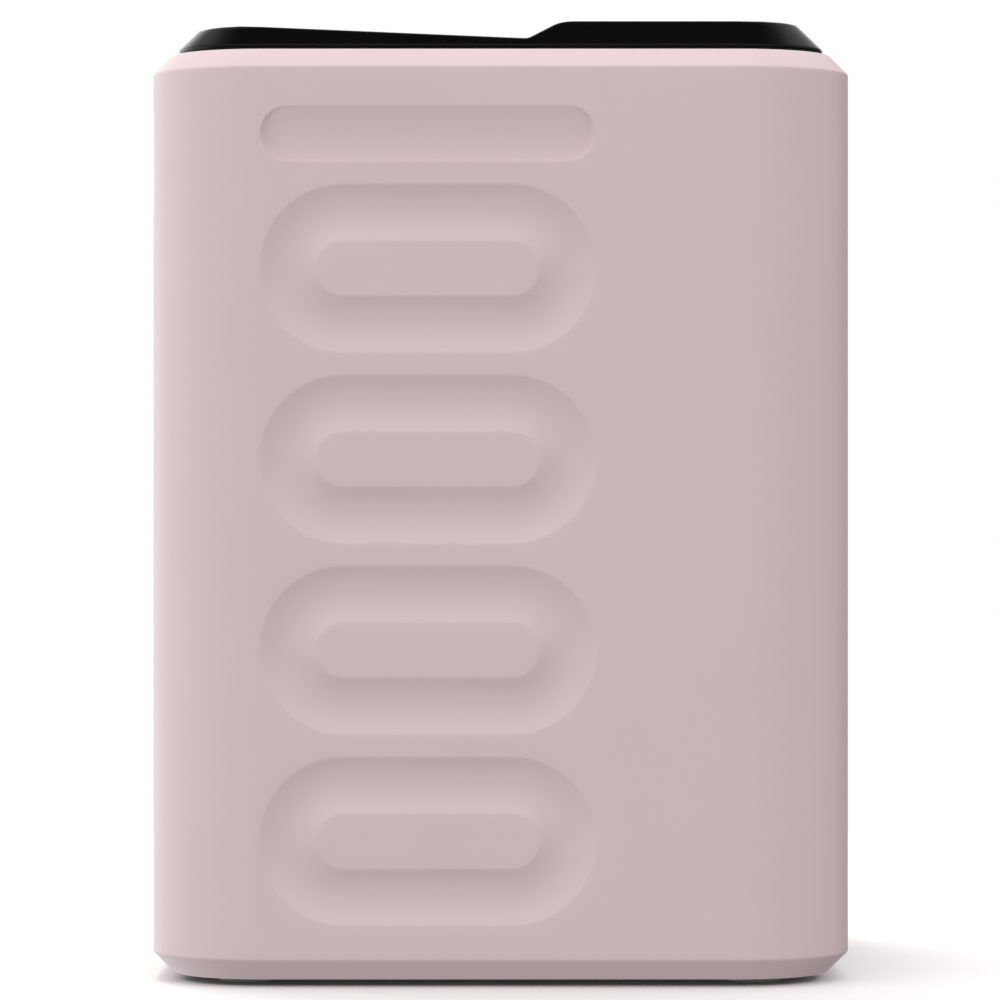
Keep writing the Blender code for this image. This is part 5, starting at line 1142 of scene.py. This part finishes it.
def rocker_switch():
    """The power switch: a bezel with a deep well, and a two-faced rocker with its on and off marks."""
    x, _, z = middle_of(BEZEL_LOW, BEZEL_HIGH)
    rim, back = BEZEL_HIGH.y, BEZEL_LOW.y - BEZEL_HIGH.y
    half = np.array([BEZEL_HIGH.x - BEZEL_LOW.x, BEZEL_HIGH.z - BEZEL_LOW.z]) / 2
    radius, wall, deep, edge = 1.6 * MM, 1.0 * MM, 15 * MM, 0.25 * MM
    inner = radius - wall
    rows = [(0, 0, back), (1, radius, back)]
    rows += [(1, r, h) for _, r, h in reversed(edge_rows(radius, 0, edge))]
    rows += [(1, inner + 0.2 * MM, 0), (1, inner, -edge), (1, inner, -deep), (0, 0, -deep)]
    frame_sheet = sheet(stacked(corner_fan(half, radius, 6, 4), rows, facing(x, rim, z)), around=True)
    piece(
        "rocker_frame", [frame_sheet], polyamide(), "root", ("rocker_bezel",), crease=50)

    face = ROCKER_HIGH.y
    proud = face - rim
    reach = (ROCKER_HIGH.z - ROCKER_LOW.z) / 2
    off_dip, waist, tail, foot = 1.4 * MM, 2.9 * MM, 9.0 * MM, 3 * MM
    outline = softened([
        (reach, proud - 3.2 * MM), (reach, proud - off_dip), (0, proud - waist), (-reach, proud),
        (-reach, proud - 4.2 * MM), (-foot, proud - tail), (foot, proud - tail)], 0.9 * MM)
    half_width = (ROCKER_HIGH.x - ROCKER_LOW.x) / 2
    hub = outline.mean(axis=0)
    near = [(0.0, 1.0), (0.9, 1.0), (0.97, 0.97), (1.0, 0.92)]
    far = [(scale, -share) for scale, share in reversed(near)]
    grid = []
    for scale, share in near + far:
        line = hub + (outline - hub) * scale
        grid.append(np.column_stack([
            np.full(len(line), x + half_width * share), rim + line[:, 1], z + line[:, 0]]))
    piece(
        "rocker_key", [sheet(np.stack(grid), around=True)], polyamide(), "rocker",
        ("power_rocker",), crease=50)

    def on_face(u, v, rise):
        """Follows the rocker's two slopes, which meet at its waist."""
        share = np.abs(v) / reach
        depth = waist - share * np.where(v > 0, waist - off_dip, waist)
        return x + u, face - depth + rise, z + v

    bar = MM * np.array([(0, -6.2), (0, -5.0), (0, -3.8)])
    circle = ring_path(1.4 * MM, 0, 348, 30, (0, 4.6 * MM))
    marks = stroke(bar, 0.5 * MM, INK, on_face) + stroke(circle, 0.45 * MM, INK, on_face, True)
    piece("rocker_marks", marks, printed_ink("printed_white_ink", "#E8E8E6"), "rocker")


def screw_heads():
    """The rear panel's pan-head screws, each with a cross recess in its head.

    The head is a grid of rings whose depth is lowered where the point lies in either arm of the cross.
    """
    flat_rings, segments = 16, 96
    cross_arm, cross_deep, tip = 0.33 * MM, 0.7 * MM, 0.3 * MM
    radius = SCREW_HEAD * np.concatenate([np.linspace(0, 0.8, flat_rings), [0.9, 0.97, 1.0, 1.0]])
    dome = SCREW_RISE * np.concatenate([np.zeros(flat_rings), [0.12, 0.35, 0.75, 1.0]])
    angle = np.linspace(0, 2 * np.pi, segments, endpoint=False)
    u, v = radius[:, None] * np.cos(angle), radius[:, None] * np.sin(angle)
    arm = np.minimum(np.abs(u), np.abs(v))
    inside = (arm < cross_arm) & (np.hypot(u, v) < SCREW_HEAD * 0.62)
    depth = dome[:, None] + np.where(inside, cross_deep, 0)
    for number in range(1, 5):
        low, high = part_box(f"rear_screw_{number}")
        x, _, z = middle_of(low, high)
        top = high.y - 0.9 * MM
        length = top - low.y
        crown = np.stack([x + u, top - depth, z + v], axis=-1)
        under = np.array([
            (SCREW_SHANK, SCREW_RISE), (SCREW_SHANK, length - tip), (tip, length), (0, length)])
        r, d = under[:, :1], under[:, 1:]
        tail = np.stack([
            x + r * np.cos(angle), np.broadcast_to(top - d, (4, segments)), z + r * np.sin(angle)],
            axis=-1)
        grid = np.concatenate([crown, tail])
        piece(
            f"rear_screw_head_{number}", [sheet(grid, around=True)], zinc_steel(), "root",
            (f"rear_screw_{number}",), crease=40)


# ---------------------------------------------------------------- bowl, seal, dasher and feet
def ice_bowl():
    """The lift-out bowl: spun aluminium with a rolled flange and a tube up its middle."""
    low, high = BOWL_LOW.z, BOWL_HIGH.z
    flange = (BOWL_HIGH.x - BOWL_LOW.x) / 2
    wall = 1.5 * MM
    outer = flange - 3.5 * MM
    profile = softened([
        (TUBE_RADIUS - wall, low), (outer, low), (outer, high - wall), (flange, high - wall), (flange, high),
        (outer - wall, high), (outer - wall, low + wall), (TUBE_RADIUS, low + wall),
        (TUBE_RADIUS, TUBE_TOP), (TUBE_RADIUS - wall, TUBE_TOP)],
        np.array([0.5, 7, 1.2, 0.6, 0.6, 1.6, 6, 2.5, 0.6, 0.6]) * MM, 8)
    piece(
        "ice_bowl", [spun(profile, (*BOWL_AXIS, 0), segments=144)], anodised(),
        "root", ("bowl",), crease=60)


def mouth_seal():
    """The lid's seal: a ring with two rounded lips."""
    outer, inner = (GASKET_HIGH.x - GASKET_LOW.x) / 2, MOUTH_RADIUS + 1 * MM
    low, high = GASKET_LOW.z, GASKET_HIGH.z
    middle = (inner + outer) / 2
    profile = softened([
        (inner, low), (outer, low), (outer, high), (middle + 0.8 * MM, high), (middle, high - 0.5 * MM),
        (middle - 0.8 * MM, high), (inner, high)], 0.3 * MM)
    piece(
        "mouth_seal", [spun(profile, (*BOWL_AXIS, 0), segments=144)], silicone(), "root",
        ("lid_gasket",), crease=60)


def paddle():
    """The dasher: a hub with a square socket and two flat frames that scrape the bowl.

    The hub's rows are circles of radius r, or squares of half-width a: r = a / max(|cos|, |sin|).
    """
    low, high = DASHER_LOW.z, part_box("drive_shaft")[1].z + 3 * MM
    segments = 96
    angle = np.linspace(0, 2 * np.pi, segments, endpoint=False) + np.pi / segments
    square = 1 / np.maximum(np.abs(np.cos(angle)), np.abs(np.sin(angle)))
    hub, bore, key = 12.5 * MM, 9.6 * MM, SQUARE_HALF + 0.4 * MM
    rows = [
        (bore, low, 0), (hub - 0.6 * MM, low, 0), (hub, low + 0.6 * MM, 0), (hub, high - 3 * MM, 0),
        (hub - 1 * MM, high - 0.9 * MM, 0), (hub - 3 * MM, high, 0), (key + 0.5 * MM, high, 1),
        (key, high - 0.5 * MM, 1), (key, TUBE_TOP + 1.2 * MM, 1), (bore, TUBE_TOP + 1.2 * MM, 0)]
    radius = np.array([r * (square if flat else np.ones(segments)) for r, _, flat in rows])
    height = np.array([z for _, z, _ in rows])[:, None] + 0 * radius
    x = BOWL_AXIS[0] + radius * np.cos(angle)
    y = BOWL_AXIS[1] + radius * np.sin(angle)
    sheets = [sheet(np.stack([x, y, height], axis=-1), around=True, over=True)]
    reach, top, rim = DASHER_HIGH.x, DASHER_HIGH.z, 6 * MM
    inner = hub - 1.5 * MM
    outside = softened([
        (inner, low), (reach, low), (reach, top), (reach - 12 * MM, top), (inner, TUBE_TOP - 6 * MM)],
        np.array([0.5, 7, 3, 5, 0.5]) * MM, 8)
    inside = softened([
        (inner + rim, low + rim), (reach - rim, low + rim), (reach - rim, top - 12 * MM),
        (reach - rim - 3 * MM, top - 15 * MM), (inner + rim, TUBE_TOP - 22 * MM)],
        np.array([3, 5, 2, 2, 4]) * MM, 8)
    half, edge = 1.3 * MM, 0.5 * MM
    brow = half - 0.15 * MM
    section = [
        (0, edge - half), (0, half - edge), (0.03, brow), (0.1, half), (0.9, half), (0.97, brow),
        (1, half - edge), (1, edge - half), (0.97, -brow), (0.9, -half), (0.1, -half), (0.03, -brow)]
    for side in (1, -1):
        grid = []
        for share, thick in section:
            line = outside + (inside - outside) * share
            grid.append(np.column_stack([
                BOWL_AXIS[0] + side * line[:, 0], np.full(len(line), BOWL_AXIS[1] + thick), line[:, 1]]))
        sheets.append(sheet(np.stack(grid), around=True, over=True))
    piece("dasher_moulding", sheets, acetal(), "drive", ("dasher",), crease=40)


def rubber_feet():
    """Four rubber feet, each dished underneath so that its rim grips."""
    for corner in ("front_left", "front_right", "rear_left", "rear_right"):
        low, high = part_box("foot_" + corner)
        centre = ((low.x + high.x) / 2, (low.y + high.y) / 2, 0)
        radius = (high.x - low.x) / 2
        profile = softened([
            (radius - 4 * MM, low.z + 0.7 * MM), (radius - 2.6 * MM, low.z), (radius - 0.9 * MM, low.z),
            (radius, low.z + 0.9 * MM), (radius, high.z), (1 * MM, high.z)], 0.4 * MM, closed=False)
        profile = np.concatenate([[(0, low.z + 0.8 * MM)], profile, [(0, high.z)]])
        piece(
            "rubber_foot_" + corner, [spun(profile, centre, segments=72, closed=False)], silicone(), "root",
            ("foot_" + corner,), crease=50)


# ---------------------------------------------------------------- materials
def linear(colour):
    """An sRGB hex colour as linear red, green, blue and 1."""
    values = np.array([int(colour[i:i + 2], 16) for i in (1, 3, 5)]) / 255
    straight = np.where(values <= 0.04045, values / 12.92, ((values + 0.055) / 1.055) ** 2.4)
    return (*straight, 1.0)


def add_node(tree, kind, values=None, **options):
    """Adds a node, sets its options, and for each input either its value or the socket that feeds it."""
    node = tree.nodes.new(kind)
    for name, value in options.items():
        setattr(node, name, value)
    for key, value in (values or {}).items():
        if isinstance(value, bpy.types.NodeSocket):
            tree.links.new(value, node.inputs[key])
        else:
            node.inputs[key].default_value = value
    return node


def new_finish(name):
    """A material with an empty tree, or None if it was already made."""
    if name in bpy.data.materials:
        return None
    made = bpy.data.materials.new(name)
    made.use_nodes = True
    made.node_tree.nodes.clear()
    return made


def surface(tree, colour, roughness, bump=None, **values):
    """Ends a tree in a Principled shader. colour and roughness are values or sockets."""
    inputs = {"Base Color": colour, "Roughness": roughness}
    if bump is not None:
        inputs["Normal"] = bump
    shader = add_node(tree, "ShaderNodeBsdfPrincipled", inputs)
    for key, value in values.items():
        shader.inputs[key.replace("_", " ")].default_value = value
    add_node(tree, "ShaderNodeOutputMaterial", {"Surface": shader.outputs["BSDF"]})


def grain(tree, size, detail=2.0, stretch=(1, 1, 1)):
    """Noise whose features are about size metres across, on the object's own coordinates."""
    place = add_node(tree, "ShaderNodeTexCoord")
    scaled = add_node(
        tree, "ShaderNodeMapping", {"Vector": place.outputs["Object"], "Scale": stretch})
    return add_node(
        tree, "ShaderNodeTexNoise",
        {"Vector": scaled.outputs["Vector"], "Scale": 1 / size, "Detail": detail, "Roughness": 0.5})


def ranged(tree, socket, low, high):
    """A noise value spread to run from low to high."""
    node = add_node(
        tree, "ShaderNodeMapRange",
        {"Value": socket, "From Min": 0.1, "From Max": 0.9, "To Min": low, "To Max": high})
    return node.outputs["Result"]


def tinted(tree, socket, dark, light):
    """A colour that runs from dark to light with a noise value."""
    first, second, result = 6, 7, 2  # the colour sockets, by number, because names repeat
    mix = add_node(tree, "ShaderNodeMix", data_type="RGBA")
    tree.links.new(ranged(tree, socket, 0, 1), mix.inputs[0])
    mix.inputs[first].default_value = dark
    mix.inputs[second].default_value = light
    return mix.outputs[result]


def raised(tree, socket, height):
    """A bump of that height in metres."""
    node = add_node(tree, "ShaderNodeBump", {"Height": socket, "Distance": height, "Strength": 1.0})
    return node.outputs["Normal"]


def shade(colour, factor):
    """A linear colour made lighter or darker."""
    return (*(min(c * factor, 1.0) for c in colour[:3]), 1.0)


def moulded(name, colour, low, high, size, height, **values):
    """A moulded surface: a cloudy tint, uneven roughness and a fine skin texture."""
    made = new_finish(name)
    if made is None:
        return bpy.data.materials[name]
    tree = made.node_tree
    base = linear(colour)
    cloud = grain(tree, 60 * MM)
    skin = grain(tree, size, 3.0)
    surface(
        tree, tinted(tree, cloud.outputs["Fac"], shade(base, 0.985), shade(base, 1.015)),
        ranged(tree, cloud.outputs["Fac"], low, high), raised(tree, skin.outputs["Fac"], height), **values)
    return made


def gloss_abs():
    """Injection-moulded ABS from a polished tool: clear reflections with a faint long-wave ripple."""
    return moulded(
        "housing_gloss_abs", settings().finish.housing, 0.26, 0.34, 9 * MM, 0.006 * MM, IOR=1.53)


def gloss_black():
    """High-gloss black moulding with a clear hard coat: near-mirror, so it reads by its reflections."""
    name = "lid_gloss_black"
    made = new_finish(name)
    if made is None:
        return bpy.data.materials[name]
    tree = made.node_tree
    smear = grain(tree, 25 * MM)
    base = linear(settings().finish.lid)
    surface(
        tree, tinted(tree, smear.outputs["Fac"], shade(base, 0.9), shade(base, 1.1)),
        ranged(tree, smear.outputs["Fac"], 0.07, 0.11), IOR=1.49, Specular_IOR_Level=0.3)
    return made


def spark_texture():
    """Polypropylene from a spark-eroded tool: a matt, evenly pebbled charcoal with 0.6 mm grain."""
    return moulded(
        "charcoal_spark_texture", settings().finish.inner, 0.55, 0.68, 0.6 * MM, 0.05 * MM)


def silicone():
    """Moulded silicone rubber: soft grey, matt and slightly dusty."""
    return moulded("feet_and_seal_silicone", "#55565A", 0.6, 0.75, 1.5 * MM, 0.02 * MM)


def polyamide():
    """Glass-filled polyamide of the mains fittings: black with a dry, faintly streaked skin."""
    return moulded("mains_polyamide", "#1C1C1D", 0.42, 0.55, 0.9 * MM, 0.02 * MM)


def acetal():
    """Natural acetal: milky white, waxy and slightly see-through at thin edges."""
    return moulded(
        "dasher_acetal", settings().finish.paddle, 0.28, 0.38, 4 * MM, 0.01 * MM,
        Subsurface_Weight=0.08, Subsurface_Radius=(0.003, 0.003, 0.0025), Subsurface_Scale=1.0)


def foam():
    """Self-skinned rigid foam: off-white with a fine open-cell pitting of about 1.2 mm."""
    return moulded("moulded_rigid_foam", "#E6E2D8", 0.8, 0.9, 1.2 * MM, 0.15 * MM)


def enamel():
    """Stoved enamel on the compressor's pressed can: deep black with an orange-peel ripple of 3 mm."""
    return moulded("stoved_black_enamel", "#121213", 0.18, 0.28, 3 * MM, 0.03 * MM)


def laminate():
    """Glass-fibre circuit laminate: green mask with a fine woven show-through of 0.7 mm."""
    made = new_finish("circuit_laminate")
    if made is None:
        return bpy.data.materials["circuit_laminate"]
    tree = made.node_tree
    base = linear("#1F6B3D")
    cloth = grain(tree, 0.7 * MM, 1.0)
    surface(
        tree, tinted(tree, cloth.outputs["Fac"], shade(base, 0.85), shade(base, 1.1)), 0.35,
        raised(tree, cloth.outputs["Fac"], 0.01 * MM))
    return made


def metal(name, colour, low, high, size, stretch, height):
    """A metal with its working marks: noise drawn out one way, in both tint and roughness."""
    made = new_finish(name)
    if made is None:
        return bpy.data.materials[name]
    tree = made.node_tree
    base = linear(colour)
    marks = grain(tree, size, 3.0, stretch)
    surface(
        tree, tinted(tree, marks.outputs["Fac"], shade(base, 0.93), shade(base, 1.05)),
        ranged(tree, marks.outputs["Fac"], low, high),
        raised(tree, marks.outputs["Fac"], height), Metallic=1.0)
    return made


def zinc_steel():
    """Pressed steel with bright zinc plating: pale grey with a soft spangle of about 4 mm."""
    return metal("zinc_plated_steel", "#BFC3C8", 0.28, 0.42, 4 * MM, (1, 1, 1), 0.01 * MM)


def anodised():
    """Spun and anodised aluminium: satin silver with turning marks round the bowl, 0.8 mm apart."""
    return metal("anodised_aluminium", "#D3D5D8", 0.30, 0.42, 8 * MM, (1, 1, 10), 0.008 * MM)


def copper():
    """Drawn copper tube: warm and slightly tarnished along its length."""
    return metal("drawn_copper", "#C98A63", 0.25, 0.42, 10 * MM, (1, 1, 1), 0.01 * MM)


def bronze():
    """Sintered bronze: dull gold with the pores of the pressed powder, 0.4 mm across."""
    return metal("sintered_bronze", "#A98A55", 0.42, 0.6, 0.4 * MM, (1, 1, 1), 0.02 * MM)


def smoked_acrylic():
    """Smoked acrylic display window: near black with a wet, deep surface."""
    made = new_finish("smoked_acrylic")
    if made is None:
        return bpy.data.materials["smoked_acrylic"]
    tree = made.node_tree
    depth = grain(tree, 20 * MM)
    surface(
        tree, tinted(tree, depth.outputs["Fac"], linear("#0D0C0E"), linear("#131114")),
        ranged(tree, depth.outputs["Fac"], 0.04, 0.08), IOR=1.49, Coat_Weight=0.5, Coat_Roughness=0.02)
    return made


def printed_ink(name, colour):
    """Pad-printed ink: a thin matt film with slightly uneven cover."""
    return moulded(name, colour, 0.5, 0.62, 0.8 * MM, 0.004 * MM)


def studio_floor():
    """Matt painted board: plain pale surface with barely visible roller texture."""
    return moulded("studio_floor_paint", settings().finish.floor, 0.85, 0.95, 2 * MM, 0.01 * MM)


# ---------------------------------------------------------------- carried-over parts
def brass():
    """Nickel-plated brass contact pins: pale yellow-grey with drawing marks along their length."""
    return metal("plated_brass", "#C9BE9E", 0.22, 0.35, 3 * MM, (1, 0.1, 1), 0.005 * MM)


def finish_for(slot):
    """The finish for each of the record's material slots."""
    return {
        "pink_plastic": gloss_abs,
        "black_plastic": gloss_black,
        "dark_plastic": spark_texture,
        "inlet_plastic": polyamide,
        "rubber": silicone,
        "zinc_steel": zinc_steel,
        "aluminium": anodised,
        "copper": copper,
        "bronze": bronze,
        "enamel": enamel,
        "acetal": acetal,
        "laminate": laminate,
        "foam": foam,
    }[slot]()


def inner_parts():
    """Gives every part that keeps its own solid the finish of its material slot."""
    resurfaced = (
        "housing_shell", "deck", "lid", "mix_in_cap", "fascia", "display_lens", "rear_panel",
        "power_inlet", "rocker_bezel", "power_rocker", "bowl", "lid_gasket", "dasher")
    resurfaced_groups = ("button_", "foot_", "rear_screw_")
    for name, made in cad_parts.items():
        if name in resurfaced or name.startswith(resurfaced_groups):
            continue
        kind = made.material_slots[0].material.name.split(".")[0]
        made.material_slots[0].link = "OBJECT"
        made.material_slots[0].material = finish_for(kind)


# ---------------------------------------------------------------- operators
class ICM_OT_housing(Operator):
    """Build the moulded housing with its embossed sides."""

    bl_idname = "icecream.housing"
    bl_label = "Housing"

    def execute(self, context):
        housing()
        return {"FINISHED"}


class ICM_OT_deck(Operator):
    """Build the deck round the bowl, with the hinge ears."""

    bl_idname = "icecream.deck"
    bl_label = "Top deck"

    def execute(self, context):
        mouth_deck()
        return {"FINISHED"}


class ICM_OT_lid(Operator):
    """Build the hinged lid with its skirt and knuckles."""

    bl_idname = "icecream.lid"
    bl_label = "Lid"

    def execute(self, context):
        lid_cover()
        lid_fittings()
        return {"FINISHED"}


class ICM_OT_cap(Operator):
    """Build the flush mix-in cap."""

    bl_idname = "icecream.cap"
    bl_label = "Mix-in cap"

    def execute(self, context):
        cap()
        return {"FINISHED"}


class ICM_OT_fascia(Operator):
    """Build the control strip and its display window."""

    bl_idname = "icecream.fascia"
    bl_label = "Fascia"

    def execute(self, context):
        control_fascia()
        display_window()
        return {"FINISHED"}


class ICM_OT_keys(Operator):
    """Build the four round keys and their marks."""

    bl_idname = "icecream.keys"
    bl_label = "Keys"

    def execute(self, context):
        keys()
        return {"FINISHED"}


class ICM_OT_grille(Operator):
    """Build the rear panel and its screws."""

    bl_idname = "icecream.grille"
    bl_label = "Rear grille"

    def execute(self, context):
        rear_grille()
        screw_heads()
        return {"FINISHED"}


class ICM_OT_mains(Operator):
    """Build the mains inlet and the power switch."""

    bl_idname = "icecream.mains"
    bl_label = "Mains entry"

    def execute(self, context):
        mains_inlet()
        rocker_switch()
        return {"FINISHED"}


class ICM_OT_bowl(Operator):
    """Build the bowl and the seal round its mouth."""

    bl_idname = "icecream.bowl"
    bl_label = "Bowl"

    def execute(self, context):
        ice_bowl()
        mouth_seal()
        return {"FINISHED"}


class ICM_OT_dasher(Operator):
    """Build the dasher."""

    bl_idname = "icecream.dasher"
    bl_label = "Dasher"

    def execute(self, context):
        paddle()
        return {"FINISHED"}


class ICM_OT_feet(Operator):
    """Build the four rubber feet."""

    bl_idname = "icecream.feet"
    bl_label = "Feet"

    def execute(self, context):
        rubber_feet()
        return {"FINISHED"}


class ICM_OT_inner(Operator):
    """Finish the parts that keep their own solids."""

    bl_idname = "icecream.inner"
    bl_label = "Inner parts"

    def execute(self, context):
        inner_parts()
        return {"FINISHED"}


class ICM_OT_studio(Operator):
    """Build the floor, the lights and the camera."""

    bl_idname = "icecream.studio"
    bl_label = "Studio"

    def execute(self, context):
        studio()
        return {"FINISHED"}


def sky():
    """The surrounding light: white behind, a soft gradient on matt surfaces and a band in reflections.

    Matt light is ambient * (1 + 0.65 z - 0.4 y) for the direction (x, y, z), which is what a bright
    ceiling and a brighter front give. Reflections see a band round 37 degrees up and little else.
    """
    chosen = settings().studio
    world = bpy.data.worlds.new("studio_surround")
    bpy.context.scene.world = world
    world.use_nodes = True
    tree = world.node_tree
    tree.nodes.clear()
    way = add_node(tree, "ShaderNodeTexCoord").outputs["Generated"]
    slope = add_node(
        tree, "ShaderNodeVectorMath", {0: way, 1: (0, -chosen.front, chosen.overhead)},
        operation="DOT_PRODUCT")
    matt = add_node(
        tree, "ShaderNodeMath", {0: slope.outputs["Value"], 1: chosen.ambient, 2: chosen.ambient},
        operation="MULTIPLY_ADD")
    height = add_node(tree, "ShaderNodeSeparateXYZ", {0: way}).outputs["Z"]
    rise = add_node(
        tree, "ShaderNodeMapRange",
        {"Value": height, "From Min": 0.10, "From Max": 0.55, "To Min": 0.10, "To Max": 1.0},
        interpolation_type="SMOOTHSTEP")
    fall = add_node(
        tree, "ShaderNodeMapRange",
        {"Value": height, "From Min": 0.70, "From Max": 0.97, "To Min": 1.0, "To Max": 0.02},
        interpolation_type="SMOOTHSTEP")
    band = add_node(
        tree, "ShaderNodeMath", {0: rise.outputs["Result"], 1: fall.outputs["Result"]}, operation="MULTIPLY")
    beside = add_node(
        tree, "ShaderNodeVectorMath", {0: way, 1: (-0.7, -0.7, 0)}, operation="DOT_PRODUCT")
    behind = add_node(
        tree, "ShaderNodeMapRange",
        {"Value": beside.outputs["Value"], "From Min": 0.25, "From Max": 1.0, "To Min": 0.0,
         "To Max": 1.3})
    low = add_node(
        tree, "ShaderNodeMapRange",
        {"Value": height, "From Min": 0.25, "From Max": 0.6, "To Min": 1.0, "To Max": 0.0})
    backdrop = add_node(
        tree, "ShaderNodeMath", {0: behind.outputs["Result"], 1: low.outputs["Result"]}, operation="MULTIPLY")
    mirrored = add_node(
        tree, "ShaderNodeMath",
        {0: band.outputs["Value"], 1: chosen.reflection, 2: backdrop.outputs["Value"]},
        operation="MULTIPLY_ADD")
    path = add_node(tree, "ShaderNodeLightPath")
    lit = add_node(tree, "ShaderNodeMix", {0: path.outputs["Is Glossy Ray"]}, data_type="FLOAT")
    tree.links.new(matt.outputs["Value"], lit.inputs[2])
    tree.links.new(mirrored.outputs["Value"], lit.inputs[3])
    seen = add_node(tree, "ShaderNodeMix", {0: path.outputs["Is Camera Ray"]}, data_type="FLOAT")
    tree.links.new(lit.outputs[0], seen.inputs[2])
    seen.inputs[3].default_value = 1.0
    light = add_node(tree, "ShaderNodeBackground", {"Color": (1, 1, 1, 1), "Strength": seen.outputs[0]})
    add_node(tree, "ShaderNodeOutputWorld", {"Surface": light.outputs[0]})


def studio():
    """A pale floor, the surrounding light, a soft key light above the far side, and the camera."""
    chosen = settings().studio
    scene = bpy.context.scene
    scene.view_settings.view_transform = "Standard"
    rings = [(0, 0), (0.2, 0), (0.4, 0), (0.7, 0)]
    vertices, faces = spun(rings, (0, 0, 0), closed=False)
    mesh = bpy.data.meshes.new("studio_floor")
    mesh.from_pydata(vertices.tolist(), [], faces[:, ::-1].tolist())
    floor = bpy.data.objects.new("studio_floor", mesh)
    scene.collection.objects.link(floor)
    mesh.materials.append(studio_floor())
    floor.visible_diffuse = False
    floor.visible_glossy = False
    sky()

    light = bpy.data.lights.new("overhead_softbox", "AREA")
    light.shape = "DISK"
    light.size = 0.9
    light.energy = chosen.key
    lamp = bpy.data.objects.new("overhead_softbox", light)
    lamp.location = (-0.5, -0.2, 1.6)
    aim = Vector((0, 0, 0.3)) - lamp.location
    lamp.rotation_euler = aim.to_track_quat("-Z", "Y").to_euler()
    lamp.visible_glossy = False
    scene.collection.objects.link(lamp)

    camera = bpy.data.cameras.new("camera")
    camera.lens = chosen.camera_lens
    camera.sensor_width = 36
    camera.clip_end = 50
    holder = bpy.data.objects.new("camera", camera)
    holder.location = Vector(chosen.camera_place) + Vector((0, chosen.camera_slide, 0))
    holder.rotation_euler = Vector((-1, 0, 0)).to_track_quat("-Z", "Y").to_euler()
    scene.collection.objects.link(holder)
    scene.camera = holder


class ICM_PT_panel(Panel):
    """Lists every piece of the ice cream maker."""

    bl_label = "Ice cream maker"
    bl_idname = "ICM_PT_panel"
    bl_space_type = "VIEW_3D"
    bl_region_type = "UI"
    bl_category = "Ice cream maker"

    def draw(self, context):
        for operator in OPERATORS:
            self.layout.operator(operator.bl_idname)


OPERATORS = (
    ICM_OT_housing,
    ICM_OT_deck,
    ICM_OT_lid,
    ICM_OT_cap,
    ICM_OT_fascia,
    ICM_OT_keys,
    ICM_OT_grille,
    ICM_OT_mains,
    ICM_OT_bowl,
    ICM_OT_dasher,
    ICM_OT_feet,
    ICM_OT_inner,
    ICM_OT_studio,
)
GROUPS = (ShellSettings, LidSettings, FinishSettings, StudioSettings, MakerSettings)
CLASSES = (*GROUPS, *OPERATORS, ICM_PT_panel)


def register():
    for made in CLASSES:
        bpy.utils.register_class(made)
    bpy.types.Scene.ice_cream_maker = PointerProperty(type=MakerSettings)


def unregister():
    del bpy.types.Scene.ice_cream_maker
    for made in reversed(CLASSES):
        bpy.utils.unregister_class(made)


def main():
    register()
    for operator in OPERATORS:
        group, name = operator.bl_idname.split(".")
        getattr(getattr(bpy.ops, group), name)()


if __name__ == "__main__":
    main()
